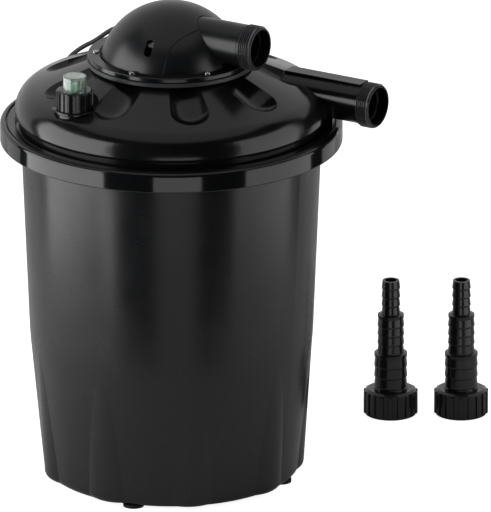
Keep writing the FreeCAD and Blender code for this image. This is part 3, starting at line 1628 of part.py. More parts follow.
def make_lead():
    nut_low = s.gland_nut_thickness + s.loose_gap
    stem_low = -s.gland_boss_length - nut_low - 1.0
    face = plain(0.1)
    tip = s.gland_nut_length + s.relief_length
    gland = turned("cable_gland", [
        (0.0, stem_low),
        (s.gland_stem_radius, stem_low),
        (s.gland_stem_radius, face),
        (s.gland_nut_radius, face),
        (s.gland_nut_radius, s.gland_nut_length, 1.0),
        (s.relief_radius, s.gland_nut_length),
        (s.relief_tip_radius, tip),
        (0.0, tip),
    ])
    node(along_gland(gland, 0.0), "cable_gland")
    corners = [(s.gland_nut_across * cosine(plain(60.0 * i)), s.gland_nut_across * sine(plain(60.0 * i)))
               for i in range(6)]
    blank = raised("gland_nut_blank", corners, plain(0.0), s.gland_nut_thickness)
    bore = cylinder("gland_nut_bore", s.gland_stem_radius + 0.05, 20.0, z=-5.0)
    node(along_gland(cut("gland_nut_form", blank, bore), -(s.gland_boss_length + nut_low).value), "gland_nut")
    radius = s.lead_radius.value
    pieces = (("power_cord", rounded_path(LEAD_ROUTE)), ("power_cord_coil", coil_path()),
              ("power_cord_tail", rounded_path(LEAD_END)))
    for name, path in pieces:
        feature = doc.addObject("Part::Feature", name + "_form")
        feature.Shape = tube(path, radius)
        node(feature, name)
        if name == "power_cord_coil":
            print("coil gap", round(least_gap(path, radius), 2), "length", round(path.Length, 1))
    last = FreeCAD.Vector(*LEAD_END[-1])
    heading = last - FreeCAD.Vector(*LEAD_END[-2])
    angle = math.degrees(math.atan2(heading.y, heading.x))
    half = s.plug_width / 2.0
    nose = s.plug_relief_length
    shoulder = nose + s.plug_taper
    face = nose + s.plug_length
    case = raised("plug_case", [
        (nose, -s.plug_nose_half, 2.0),
        (shoulder, -half, 8.0),
        (face, -half, 3.0),
        (face, half, 3.0),
        (shoulder, half, 8.0),
        (nose, s.plug_nose_half, 2.0),
    ], plain(0.0), s.plug_height)
    relief = turned_along_x("plug_relief", [
        (s.pin_clearance, 0.0),
        (s.pin_clearance, s.relief_tip_radius),
        (nose + 0.5, s.relief_radius + 0.6),
        (nose + 0.5, 0.0),
    ], 0.0, s.plug_height / 2.0)
    pins = [
        cylinder("plug_pin", s.plug_pin_radius, s.plug_pin_length + 1.0, face - 1.0,
                 s.plug_pin_spacing * side, s.plug_height / 2.0, (0, 1, 0), 90.0)
        for side in (-0.5, 0.5)
    ]
    plug = fuse("plug_form", case, relief, *pins)
    plug.Placement = FreeCAD.Placement(FreeCAD.Vector(last.x, last.y, 0),
                                       FreeCAD.Rotation(FreeCAD.Vector(0, 0, 1), angle))
    node(plug, "power_plug")


def main():
    make_tank()
    make_media()
    make_lid()
    make_band()
    make_latch()
    make_head_plate()
    make_retaining_ring()
    make_dome()
    make_inlet()
    make_lamp()
    make_gauge()
    make_adapter(1, s.adapter_one_x, s.adapter_one_y)
    make_adapter(2, s.adapter_two_x, s.adapter_two_y)
    make_lead()
    doc.recompute()
    for thing in doc.Objects:
        if "Invalid" in thing.State or "Error" in thing.State:
            raise RuntimeError(f"{thing.Name} failed: {thing.State}")
    os.makedirs("parts", exist_ok=True)
    for name, thing in nodes:
        shape = thing.Shape
        if shape.isNull() or not shape.isValid():
            raise RuntimeError(f"{name} has no valid shape")
        fit = shape.optimalBoundingBox(False)
        print(name, len(shape.Solids), round(shape.Volume), [round(v, 1) for v in (
            fit.XMin, fit.XMax, fit.YMin, fit.YMax, fit.ZMin, fit.ZMax)])
        shape.exportStep(f"parts/{name}.step")


main()
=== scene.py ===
import json
import math

import bmesh
import bpy
from bpy.props import FloatProperty, FloatVectorProperty, IntProperty, PointerProperty
from mathutils import Matrix, Vector, noise


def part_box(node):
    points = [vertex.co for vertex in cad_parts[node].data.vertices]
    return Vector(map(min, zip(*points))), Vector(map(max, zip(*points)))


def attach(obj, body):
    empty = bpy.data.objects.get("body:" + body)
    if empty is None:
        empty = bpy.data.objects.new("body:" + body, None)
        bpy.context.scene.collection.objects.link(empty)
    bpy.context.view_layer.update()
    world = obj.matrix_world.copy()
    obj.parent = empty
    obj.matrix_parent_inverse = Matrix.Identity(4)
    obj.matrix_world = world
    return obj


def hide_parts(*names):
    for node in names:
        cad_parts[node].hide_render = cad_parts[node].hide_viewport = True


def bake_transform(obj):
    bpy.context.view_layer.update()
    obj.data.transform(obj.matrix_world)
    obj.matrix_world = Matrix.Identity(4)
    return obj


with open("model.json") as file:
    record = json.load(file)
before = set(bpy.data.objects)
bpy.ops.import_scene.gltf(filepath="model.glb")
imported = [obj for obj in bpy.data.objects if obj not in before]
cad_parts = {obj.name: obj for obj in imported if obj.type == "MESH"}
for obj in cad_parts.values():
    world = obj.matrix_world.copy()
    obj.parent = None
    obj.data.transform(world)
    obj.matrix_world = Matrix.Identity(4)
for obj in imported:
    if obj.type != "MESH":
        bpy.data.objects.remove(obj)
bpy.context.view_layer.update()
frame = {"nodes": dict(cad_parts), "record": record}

bl_info = {
    "name": "Pond Canister Filter",
    "version": (1, 0, 0),
    "blender": (4, 5, 0),
    "location": "View3D > Sidebar > Filter",
    "description": "Finishes, lead, threads and media of a pond pressure filter",
    "category": "Object",
}

MM = 0.001


def linear(code):
    """Linear colour of an sRGB hex code."""
    shades = [int(code[i:i + 2], 16) / 255 for i in (1, 3, 5)]
    return tuple(c / 12.92 if c <= 0.04045 else ((c + 0.055) / 1.055) ** 2.4 for c in shades)


# Sizes and colours that a user may change


def length(name, description, millimetres):
    return FloatProperty(name=name, description=description, default=millimetres * MM, unit="LENGTH",
                         precision=5)


def colour(name, description, code):
    return FloatVectorProperty(name=name, description=description, default=linear(code), subtype="COLOR",
                               min=0.0, max=1.0)


class FilterSizes(bpy.types.PropertyGroup):
    thread_pitch: length("Thread pitch", "Distance between crests of the ports' thread", 2.309)
    thread_crest: length("Thread crest", "Radius over the crests of the ports' thread", 23.9)
    thread_root: length("Thread root", "Radius at the root of the ports' thread", 22.4)
    thread_length: length("Thread length", "Length of each port's threaded end", 17.0)
    screw_head: length("Screw head", "Radius of a ring screw's head", 3.4)
    screw_height: length("Screw head height", "Height of a ring screw's head", 2.0)
    foam_bore: length("Foam bore", "Radius of the hole in each foam disc", 45.0)
    foam_round: length("Foam edge", "Softness of a foam disc's cut edge", 4.0)
    lead_radius: length("Lead radius", "Radius of the rubber lead", 2.4)
    coil_radius: length("Coil radius", "Radius of the coil's first half turn", 34.95)
    coil_pitch: length("Coil pitch", "Distance between neighbouring turns of the coil", 5.3)
    coil_turns: IntProperty(name="Coil turns", description="Turns in each layer of the coil", default=3)
    coil_layers: IntProperty(name="Coil layers", description="Layers of the coil", default=4)
    pin_radius: length("Pin radius", "Radius of the plug's pins", 2.0)
    pin_spacing: length("Pin spacing", "Distance between the plug's pins", 19.0)


class FilterColours(bpy.types.PropertyGroup):
    tank: colour("Tank", "Black polypropylene of the tank", "#131416")
    lid: colour("Lid", "Black polypropylene of the lid and its clamp band", "#121314")
    dome: colour("Dome", "Black ABS of the lamp head", "#1a1b1d")
    fitting: colour("Fittings", "Black polypropylene of nuts and hose tails", "#18191b")
    # the thread crests' colour is a painted highlight: paler than the pipe to stand for the light on the
    # crests
    crest: colour("Thread crests", "Rubbed crests of the ports' threads", "#4a4b4e")
    grid: colour("Grids", "Dark grey polypropylene of the grids and the inner tube", "#3a3b3e")
    rubber: colour("Rubber", "Black rubber of the seals, feet and lead", "#1b1b1c")
    coarse_foam: colour("Coarse foam", "Blue coarse foam", "#3f6f96")
    fine_foam: colour("Fine foam", "Pale yellow fine foam", "#d9cf9f")
    indicator: colour("Indicator", "Green plunger of the sight gauge", "#1fc987")
    steel: colour("Steel", "Stainless steel of the latch and the screws", "#c4c5c8")


class FilterStage(bpy.types.PropertyGroup):
    azimuth: FloatProperty(name="Azimuth", description="Camera's bearing round the object",
                           default=math.radians(31.0), subtype="ANGLE")
    elevation: FloatProperty(name="Elevation", description="Camera's height above the horizon",
                             default=math.radians(19.0), subtype="ANGLE")
    distance: FloatProperty(name="Distance", description="From the camera to the object", default=22.0,
                            unit="LENGTH")
    frame_height: FloatProperty(name="Frame height", description="Height of the picture at the object",
                                default=0.5407, unit="LENGTH")
    aim_right: FloatProperty(name="Aim across", description="Picture's middle, right of the tank's axis",
                             default=0.0779, unit="LENGTH")
    aim_up: FloatProperty(name="Aim up", description="Picture's middle, above the floor's origin",
                          default=0.2246, unit="LENGTH")
    table_front: FloatProperty(name="Table front", description="From the tank's axis to the table's edge",
                               default=0.53, unit="LENGTH")
    table_back: FloatProperty(name="Table back", description="From the tank's axis to the table's far edge",
                              default=2.6, unit="LENGTH")
    table_side: FloatProperty(name="Table side", description="From the tank's axis to the table's sides",
                              default=0.81, unit="LENGTH")
    panel_reach: FloatProperty(name="Panel reach", description="From the tank's axis to the soft boxes",
                               default=1.25, unit="LENGTH")
    drape_reach: FloatProperty(name="Drape reach", description="From the tank's axis to the dark drape",
                               default=1.7, unit="LENGTH")
    drape_top: FloatProperty(name="Drape top", description="Height of the dark drape above the table",
                             default=2.6, unit="LENGTH")


def sizes():
    return bpy.context.scene.filter_sizes


def colours():
    return bpy.context.scene.filter_colours


def stage():
    return bpy.context.scene.filter_stage


# Materials


def add_node(tree, kind, settings=None, links=None):
    """Add a shader node, set its values and join its inputs."""
    added = tree.nodes.new(kind)
    for name, value in (settings or {}).items():
        if isinstance(name, str) and hasattr(added, name):
            setattr(added, name, value)
        else:
            added.inputs[name].default_value = value
    for name, source in (links or {}).items():
        tree.links.new(source, added.inputs[name])
    return added


def new_material(name):
    material = bpy.data.materials.new(name)
    material.use_nodes = True
    material.node_tree.nodes.clear()
    return material, material.node_tree


def moulded(name, shade, roughness, spread, grain, relief, ripple=0.0, edge=0.5, level=0.5):
    """A moulded plastic: grain, ripple and edge are in millimetres, relief is the grain's depth.

    Moulding leaves a fine orange peel, patches that are a little duller where the melt cooled
    last, on large walls a slow ripple that bends long reflections, and no edge quite sharp: the
    small round of each edge catches a line of light.
    """
    material, tree = new_material(name)
    place = add_node(tree, "ShaderNodeTexCoord").outputs["Object"]
    patch, slow_wave, darkest = 35 * MM, 70 * MM, 0.86
    patches = add_node(tree, "ShaderNodeTexNoise", {"Scale": 1 / patch, "Detail": 4.0},
                       {"Vector": place})
    dull = add_node(tree, "ShaderNodeMapRange", {"To Min": roughness - spread, "To Max": roughness + spread,
                                                 "From Min": 0.3, "From Max": 0.7},
                    {"Value": patches.outputs["Fac"]})
    darker = [c * darkest for c in shade] + [1.0]
    tone = add_node(tree, "ShaderNodeMix", {"data_type": "RGBA", 6: darker, 7: [*shade, 1.0]},
                    {0: patches.outputs["Fac"]})
    peel = add_node(tree, "ShaderNodeTexNoise", {"Scale": 1 / (grain * MM), "Detail": 2.0},
                    {"Vector": place})
    rounded = add_node(tree, "ShaderNodeBevel", {"samples": 4, "Radius": edge * MM})
    bump = add_node(tree, "ShaderNodeBump", {"Distance": relief * MM, "Strength": 0.6},
                    {"Height": peel.outputs["Fac"], "Normal": rounded.outputs[0]})
    if ripple:
        slow = add_node(tree, "ShaderNodeTexNoise", {"Scale": 1 / slow_wave, "Detail": 1.0},
                        {"Vector": place})
        bump = add_node(tree, "ShaderNodeBump", {"Distance": ripple * MM, "Strength": 1.0},
                        {"Height": slow.outputs["Fac"], "Normal": bump.outputs[0]})
    shader = add_node(tree, "ShaderNodeBsdfPrincipled",
                      {"IOR": 1.49, "Specular IOR Level": level},
                      {"Base Color": tone.outputs[2], "Roughness": dull.outputs[0],
                       "Normal": bump.outputs[0]})
    add_node(tree, "ShaderNodeOutputMaterial", links={"Surface": shader.outputs[0]})
    return material


def tank_plastic():
    """Injection-moulded black polypropylene, satin gloss: soft streaks of light down the wall."""
    return moulded("polypropylene_satin_black", colours().tank, roughness=0.26, spread=0.03,
                   grain=1.6, relief=0.02, ripple=0.25)


def lid_plastic():
    """Black polypropylene from a polished mould: reflections with crisp edges."""
    return moulded("polypropylene_polished_black", colours().lid, roughness=0.19, spread=0.04,
                   grain=2.4, relief=0.006, ripple=0.4, edge=0.8)


def band_plastic():
    """The clamp band has the lid's polish, and its long face mirrors the soft boxes."""
    return moulded("clamp_band_polished_black", colours().lid, roughness=0.09, spread=0.015,
                   grain=2.4, relief=0.005, ripple=0.05, edge=1.0)


def ring_plastic():
    """The ring that holds the dome, satin gloss."""
    return moulded("polypropylene_ring_black", colours().tank, roughness=0.18, spread=0.03,
                   grain=1.2, relief=0.02, edge=0.7)


def dome_plastic():
    """ABS from a fine spark-eroded mould: broad, soft highlights. Grain drawn at 0.7 mm to show."""
    return moulded("abs_fine_texture_black", colours().dome, roughness=0.3, spread=0.03,
                   grain=0.7, relief=0.03, ripple=0.1, edge=0.4)


def fitting_plastic():
    """Glass-filled polypropylene of nuts, hose tails and threads."""
    return moulded("polypropylene_fitting_black", colours().fitting, roughness=0.15, spread=0.04,
                   grain=1.0, relief=0.02, edge=0.6)


def thread_painted_highlight():
    """The ports' thread ridges, painted paler than the pipe: a painted highlight for the light that their
    crests catch.
    """
    return moulded("polypropylene_thread_painted_highlight", colours().crest, roughness=0.2, spread=0.04,
                   grain=0.8, relief=0.01, edge=0.2)


def grid_plastic():
    """Plain dark grey polypropylene, as it leaves the mould."""
    return moulded("polypropylene_grid_grey", colours().grid, roughness=0.42, spread=0.05,
                   grain=1.2, relief=0.04)


def socket_plastic():
    """White polyamide of the lamp's socket."""
    return moulded("polyamide_socket_white", linear("#e6e5df"), roughness=0.4, spread=0.04,
                   grain=1.0, relief=0.02)


def indicator_green():
    """Green ABS plunger."""
    return moulded("abs_indicator_green", colours().indicator, roughness=0.28, spread=0.03,
                   grain=1.0, relief=0.01)


def rubber(name, roughness, grain):
    """Moulded rubber: matt, with a fine grain and a bloom of paler patches."""
    return moulded(name, colours().rubber, roughness=roughness, spread=0.06, grain=grain, relief=0.05,
                   level=0.35)


def foot_rubber():
    """Moulded rubber of the feet, the dullest of the rubbers."""
    return rubber("rubber_foot_black", roughness=0.72, grain=0.9)


def seal_rubber():
    """Moulded EPDM of the seals and gaskets, matt with a faint bloom."""
    return rubber("epdm_seal_black", roughness=0.6, grain=0.8)


def cord_rubber():
    """Extruded rubber sheath of the lead, smooth enough for a soft line of light along it."""
    return rubber("rubber_lead_sheath_black", roughness=0.5, grain=0.6)


def plug_rubber():
    """Moulded rubber of the plug and its relief, matt with a fine grain."""
    return rubber("rubber_plug_black", roughness=0.55, grain=0.7)


def foam(name, shade, pore):
    """Open-cell polyurethane foam: a net of pores with painted shade in their depths, matt and soft."""
    material, tree = new_material(name)
    place = add_node(tree, "ShaderNodeTexCoord").outputs["Object"]
    cells = add_node(tree, "ShaderNodeTexVoronoi",
                     {"Scale": 1 / (pore * MM), "feature": "DISTANCE_TO_EDGE"}, {"Vector": place})
    cell_half, darkest = 0.32, 0.22
    depth = add_node(tree, "ShaderNodeMapRange", {"From Max": cell_half},
                     {"Value": cells.outputs["Distance"]})
    # the pores' depths are darkened as painted shade
    painted_pore_shade = [c * darkest for c in shade] + [1.0]
    tone = add_node(tree, "ShaderNodeMix", {"data_type": "RGBA", 6: [*shade, 1.0], 7: painted_pore_shade},
                    {0: depth.outputs[0]})
    inverse = add_node(tree, "ShaderNodeMath", {"operation": "SUBTRACT", 0: 1.0}, {1: depth.outputs[0]})
    bump = add_node(tree, "ShaderNodeBump", {"Distance": pore * 0.5 * MM, "Strength": 0.9},
                    {"Height": inverse.outputs[0]})
    shader = add_node(tree, "ShaderNodeBsdfPrincipled",
                      {"Roughness": 0.95, "Sheen Weight": 0.25, "Sheen Roughness": 0.5},
                      {"Base Color": tone.outputs[2], "Normal": bump.outputs[0]})
    add_node(tree, "ShaderNodeOutputMaterial", links={"Surface": shader.outputs[0]})
    return material


def coarse_foam():
    """Coarse blue foam, whose open pores show one by one."""
    return foam("foam_coarse_blue", colours().coarse_foam, pore=3.0)


def fine_foam():
    """Fine pale yellow foam, whose smaller pores show as an even grain."""
    return foam("foam_fine_yellow", colours().fine_foam, pore=1.6)


def steel(name, roughness, brush):
    """Metal with a brushed grain: lines round the object, much closer together along Z."""
    material, tree = new_material(name)
    place = add_node(tree, "ShaderNodeTexCoord").outputs["Object"]
    line_length, drawn_out, smoothest, roughest = brush * 10 * MM, 14.0, 0.75, 1.3
    stretch = add_node(tree, "ShaderNodeMapping", {"Scale": (1.0, 1.0, drawn_out)}, {"Vector": place})
    lines = add_node(tree, "ShaderNodeTexNoise", {"Scale": 1 / line_length, "Detail": 5.0},
                     {"Vector": stretch.outputs[0]})
    dull = add_node(tree, "ShaderNodeMapRange",
                    {"To Min": roughness * smoothest, "To Max": roughness * roughest},
                    {"Value": lines.outputs["Fac"]})
    bump = add_node(tree, "ShaderNodeBump", {"Distance": 0.01 * MM, "Strength": 0.5},
                    {"Height": lines.outputs["Fac"]})
    shader = add_node(tree, "ShaderNodeBsdfPrincipled",
                      {"Base Color": [*colours().steel, 1.0], "Metallic": 1.0},
                      {"Roughness": dull.outputs[0], "Normal": bump.outputs[0]})
    add_node(tree, "ShaderNodeOutputMaterial", links={"Surface": shader.outputs[0]})
    return material


def latch_steel():
    """Pressed and brushed stainless steel of the latch: reflections blurred along its grain."""
    return steel("stainless_brushed", roughness=0.3, brush=0.4)


def screw_steel():
    """Bright stainless steel of the screws, smooth enough for small sharp glints."""
    return steel("stainless_bright", roughness=0.16, brush=0.25)


def pin_nickel():
    """Nickel-plated brass of the plug's pins, as pale a grey as the steel."""
    return steel("brass_nickel_plated", roughness=0.2, brush=0.3)


def glass(name, tint, ior, roughness, clear=1.0):
    """A clear moulding, with a slow wave from the mould that makes its highlights waver.

    A clear share below one leaves the rest milky, as in a cap whose moulding scatters the light.
    """
    material, tree = new_material(name)
    place = add_node(tree, "ShaderNodeTexCoord").outputs["Object"]
    wave_length, wave_depth, smoothest, roughest = 6 * MM, 0.03 * MM, 0.6, 1.6
    wave = add_node(tree, "ShaderNodeTexNoise", {"Scale": 1 / wave_length, "Detail": 1.0},
                    {"Vector": place})
    bump = add_node(tree, "ShaderNodeBump", {"Distance": wave_depth, "Strength": 0.5},
                    {"Height": wave.outputs["Fac"]})
    smear = add_node(tree, "ShaderNodeMapRange",
                     {"To Min": roughness * smoothest, "To Max": roughness * roughest},
                     {"Value": wave.outputs["Fac"]})
    shader = add_node(tree, "ShaderNodeBsdfPrincipled",
                      {"Base Color": [*linear(tint), 1.0], "Transmission Weight": clear, "IOR": ior},
                      {"Normal": bump.outputs[0], "Roughness": smear.outputs[0]})
    add_node(tree, "ShaderNodeOutputMaterial", links={"Surface": shader.outputs[0]})
    return material


def lens_glass():
    """Clear polycarbonate of the viewing window."""
    return glass("polycarbonate_lens", "#eef4f7", ior=1.58, roughness=0.03)


def quartz_glass():
    """Drawn quartz of the lamp's sleeve: clear, with the crispest highlights."""
    return glass("quartz_sleeve_clear", "#f6f8fa", ior=1.46, roughness=0.01)


def lamp_glass():
    """Glass tube of the lamp, clear with crisp highlights."""
    return glass("lamp_tube_clear", "#f2f5fb", ior=1.5, roughness=0.02)


def cap_clear():
    """Clear polystyrene of the gauge's cap, with a faint green tint painted in for the green light that it
    picks up from the plunger inside.
    """
    return glass("polystyrene_cap_clear", "#f2fbf5", ior=1.59, roughness=0.02, clear=0.86)


FINISHES = {
    "tank_plastic": tank_plastic, "lid_plastic": lid_plastic, "band_plastic": band_plastic,
    "ring_plastic": ring_plastic, "dome_plastic": dome_plastic, "fitting_plastic": fitting_plastic,
    "grid_plastic": grid_plastic, "socket_plastic": socket_plastic, "foot_rubber": foot_rubber,
    "seal_rubber": seal_rubber, "coarse_foam": coarse_foam, "fine_foam": fine_foam,
    "latch_steel": latch_steel, "screw_steel": screw_steel, "lens_glass": lens_glass,
    "quartz_glass": quartz_glass, "lamp_glass": lamp_glass, "cap_clear": cap_clear,
    "indicator_green": indicator_green, "cord_rubber": cord_rubber, "plug_rubber": plug_rubber,
}
made = {}


def material_of(slot):
    """The material of a slot, made when it is first asked for."""
    if slot not in made:
        made[slot] = FINISHES[slot]()
    return made[slot]


# Pieces


def add_piece(bm, name, slot, body, replaced=(), material=None, sharp=35.0):
    """Turn a bmesh into a piece that rides on a body."""
    mesh = bpy.data.meshes.new(name)
    bm.to_mesh(mesh)
    bm.free()
    mesh.shade_smooth()
    mesh.set_sharp_from_angle(angle=math.radians(sharp))
    piece = bpy.data.objects.new(name, mesh)
    bpy.context.scene.collection.objects.link(piece)
    mesh.materials.append(material or material_of(slot))
    if replaced:
        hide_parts(*replaced)
    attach(piece, body)
    return piece


def turned(outline, steps):
    """A closed outline of (radius, height) points turned about Z."""
    bm = bmesh.new()
    ring = [bm.verts.new((radius, 0.0, height)) for radius, height in outline]
    sides = [bm.edges.new(pair) for pair in zip(ring, ring[1:] + ring[:1])]
    bmesh.ops.spin(bm, geom=ring + sides, cent=(0, 0, 0), axis=(0, 0, 1), angle=math.tau, steps=steps,
                   use_merge=True)
    bmesh.ops.remove_doubles(bm, verts=bm.verts, dist=1e-7)
    # an outline that ends on the axis leaves one edge along it
    bmesh.ops.delete(bm, geom=[edge for edge in bm.edges if edge.is_wire], context="EDGES")
    bmesh.ops.recalc_face_normals(bm, faces=bm.faces)
    return bm


def lay_along_x(bm):
    """Turn a piece made along Z to point along X."""
    bmesh.ops.rotate(bm, cent=(0, 0, 0), matrix=Matrix.Rotation(math.pi / 2, 3, "Y"), verts=bm.verts)


def add_to(bm, other):
    """Join another bmesh to this one, and put the other away."""
    held = bpy.data.meshes.new("held")
    other.to_mesh(held)
    other.free()
    bm.from_mesh(held)
    bpy.data.meshes.remove(held)


# Stage


def view_axes():
    """Unit vectors across the picture, up it and towards the camera."""
    azimuth, elevation = stage().azimuth, stage().elevation
    right = Vector((math.cos(azimuth), math.sin(azimuth), 0.0))
    back = Vector((math.sin(azimuth) * math.cos(elevation), -math.cos(azimuth) * math.cos(elevation),
                   math.sin(elevation)))
    return right, back.cross(right), back


def make_camera():
    right, up, back = view_axes()
    aim = right * stage().aim_right + up * stage().aim_up
    data = bpy.data.cameras.new("camera")
    data.sensor_width = 36.0
    data.lens = data.sensor_width * stage().distance / stage().frame_height
    camera = bpy.data.objects.new("camera", data)
    camera.location = aim + back * stage().distance
    camera.rotation_euler = back.to_track_quat("Z", "Y").to_euler()
    bpy.context.scene.collection.objects.link(camera)
    bpy.context.scene.camera = camera


def stage_mesh(name, bm, material, seen=True):
    mesh = bpy.data.meshes.new(name)
    bm.to_mesh(mesh)
    bm.free()
    mesh.materials.append(material)
    thing = bpy.data.objects.new(name, mesh)
    bpy.context.scene.collection.objects.link(thing)
    thing.visible_camera = seen


# How bright the room is in reflections, by how far up they look: 0 is level and 1 is overhead
ROOM_LIGHT = [(0.0, 0.7), (0.3, 0.66), (0.6, 0.54), (0.88, 0.46)]
# How bright it is as a light on matt surfaces
ROOM_FILL = 0.45


def make_world():
    """A white room for the camera. Reflections see it darken a little towards its ceiling."""
    world = bpy.data.worlds.new("studio_white")
    world.use_nodes = True
    tree = world.node_tree
    tree.nodes.clear()
    ray = add_node(tree, "ShaderNodeTexCoord").outputs["Generated"]
    height = add_node(tree, "ShaderNodeSeparateXYZ", links={0: ray}).outputs["Z"]
    overhead = add_node(tree, "ShaderNodeValToRGB", links={"Fac": height})
    stops = overhead.color_ramp.elements
    stops.remove(stops[-1])
    for up, light in ROOM_LIGHT:
        stop = stops.new(up) if up else stops[0]
        stop.color = (light, light, light, 1)
    rays = add_node(tree, "ShaderNodeLightPath")
    lit = add_node(tree, "ShaderNodeBackground", {"Color": (1, 1, 1, 1), "Strength": ROOM_FILL})
    room = add_node(tree, "ShaderNodeBackground", {"Strength": 1.0}, {"Color": overhead.outputs["Color"]})
    white = add_node(tree, "ShaderNodeBackground", {"Color": (1, 1, 1, 1), "Strength": 1.0})
    shiny = add_node(tree, "ShaderNodeMixShader", links={0: rays.outputs["Is Glossy Ray"],
                                                         1: lit.outputs[0], 2: room.outputs[0]})
    clear = add_node(tree, "ShaderNodeMath", {"operation": "MAXIMUM"},
                     {0: rays.outputs["Is Camera Ray"], 1: rays.outputs["Is Transmission Ray"]})
    mixed = add_node(tree, "ShaderNodeMixShader", links={0: clear.outputs[0], 1: shiny.outputs[0],
                                                         2: white.outputs[0]})
    add_node(tree, "ShaderNodeOutputWorld", links={"Surface": mixed.outputs[0]})
    bpy.context.scene.world = world


def table_finish():
    """A matt white table top. It keeps the shadow, and reads as white from the camera."""
    material, tree = new_material("table_white_laminate")
    diffuse = add_node(tree, "ShaderNodeBsdfDiffuse", {"Color": (*linear("#efefef"), 1.0)})
    rays = add_node(tree, "ShaderNodeLightPath")
    lifted = add_node(tree, "ShaderNodeEmission", {"Color": (1, 1, 1, 1), "Strength": 0.9})
    nothing = add_node(tree, "ShaderNodeEmission", {"Strength": 0.0})
    lift = add_node(tree, "ShaderNodeMixShader", links={0: rays.outputs["Is Camera Ray"],
                                                        1: nothing.outputs[0], 2: lifted.outputs[0]})
    both = add_node(tree, "ShaderNodeAddShader", links={0: diffuse.outputs[0], 1: lift.outputs[0]})
    add_node(tree, "ShaderNodeOutputMaterial", links={"Surface": both.outputs[0]})
    return material


def glow(name, strength):
    material, tree = new_material(name)
    light = add_node(tree, "ShaderNodeEmission", {"Color": (1, 1, 1, 1), "Strength": strength})
    add_node(tree, "ShaderNodeOutputMaterial", links={"Surface": light.outputs[0]})
    return material


def drape_finish():
    """Black velvet that keeps stray light out of the reflections."""
    material, tree = new_material("velvet_black")
    velvet = add_node(tree, "ShaderNodeBsdfDiffuse", {"Color": (*linear("#101010"), 1.0)})
    add_node(tree, "ShaderNodeOutputMaterial", links={"Surface": velvet.outputs[0]})
    return material


def make_table():
    """A table whose front edge shows as the fading of the streaks on the tank's wall."""
    front, back = stage().table_front, stage().table_back
    bm = bmesh.new()
    bmesh.ops.create_grid(bm, x_segments=1, y_segments=1, size=1.0)
    bmesh.ops.scale(bm, vec=(stage().table_side, (back + front) / 2, 1.0), verts=bm.verts)
    bmesh.ops.translate(bm, vec=(0, (back - front) / 2, 0), verts=bm.verts)
    bmesh.ops.rotate(bm, cent=(0, 0, 0), matrix=Matrix.Rotation(stage().azimuth, 3, "Z"), verts=bm.verts)
    stage_mesh("table", bm, table_finish())


def standing_panel(name, bearing, spread, low, high, reach, material):
    """A curved upright panel round the object: bearing and spread in degrees from the camera's side."""
    bm = bmesh.new()
    heading = stage().azimuth - math.pi / 2 + math.radians(bearing)
    start = heading - math.radians(spread) / 2
    foot = Vector((math.cos(start), math.sin(start), 0)) * reach
    ends = [bm.verts.new(foot + Vector((0, 0, z))) for z in (low, high)]
    side = bm.edges.new(ends)
    bmesh.ops.spin(bm, geom=ends + [side], cent=(0, 0, 0), axis=(0, 0, 1), angle=math.radians(spread),
                   steps=24)
    bmesh.ops.recalc_face_normals(bm, faces=bm.faces)
    stage_mesh(name, bm, material, seen=False)


# Each soft box: its name, bearing and spread in degrees, foot and top from the table, and brightness
SOFT_BOXES = [
    ("soft_box_left", -75.0, 64.0, -0.9, 1.1, 3.3),
    ("soft_box_middle", 4.0, 30.0, -0.075, 0.12, 1.4),
    ("soft_box_low", 4.0, 30.0, -1.1, -0.075, 0.42),
    ("soft_box_right", 75.0, 54.0, -0.9, 1.1, 1.5),
]
DRAPE_SPREAD = 236.0
DRAPE_FOOT = -1.6


def make_lights():
    """Soft boxes whose reflections are the pale bars on the band, with a dark drape behind them."""
    reach = stage().panel_reach
    for name, bearing, spread, foot, top, brightness in SOFT_BOXES:
        standing_panel(name, bearing, spread, foot, top, reach, glow(name + "_glow", brightness))
    standing_panel("drape", 0.0, DRAPE_SPREAD, DRAPE_FOOT, stage().drape_top, stage().drape_reach,
                   drape_finish())


class FILTER_OT_stage(bpy.types.Operator):
    """Set up the camera, the table, the soft boxes and the pale world"""
    bl_idname = "filter.stage"
    bl_label = "Stage"

    def execute(self, context):
        make_camera()
        make_world()
        make_table()
        make_lights()
        context.scene.view_settings.view_transform = "Standard"
        return {"FINISHED"}


# Lead

# The lead's route, given point by point: off the dome, over the lid, down behind the tank, along the floor
LEAD_ROUTE = [
    (-0.08683, 0.03866, 0.46525),
    (-0.0946, 0.04212, 0.46248),
    (-0.1062, 0.0444, 0.4549),
    (-0.1223, 0.0470, 0.4418),
    (-0.1386, 0.0505, 0.4322),
    (-0.1574, 0.0573, 0.4178),
    (-0.1715, 0.0624, 0.4020),
    (-0.1785, 0.0650, 0.3780),
    (-0.1828, 0.0665, 0.3450),
    (-0.1854, 0.0675, 0.2920),
    (-0.1868, 0.0680, 0.2360),
    (-0.1872, 0.0682, 0.1760),
    (-0.1870, 0.0688, 0.1160),
    (-0.1866, 0.0708, 0.0620),
    (-0.1856, 0.0770, 0.0270),
    (-0.1826, 0.0930, 0.0080),
    (-0.1753, 0.1190, 0.0026),
    (-0.1682, 0.1490, 0.0024),
    (-0.16395, 0.1800, 0.0024),
    (-0.16395, 0.2140, 0.0024),
]
# The lead's last stretch, from the top of the coil down to its plug
LEAD_END = [
    (-0.16925, 0.2140, 0.0183),
    (-0.16925, 0.2320, 0.0183),
    (-0.1706, 0.2500, 0.0120),
    (-0.1728, 0.2660, 0.00685),
    (-0.1753, 0.2820, 0.00685),
]
POINTS_PER_HALF_TURN = 8
PLUG_HALF_HEIGHT = 6.85 * MM


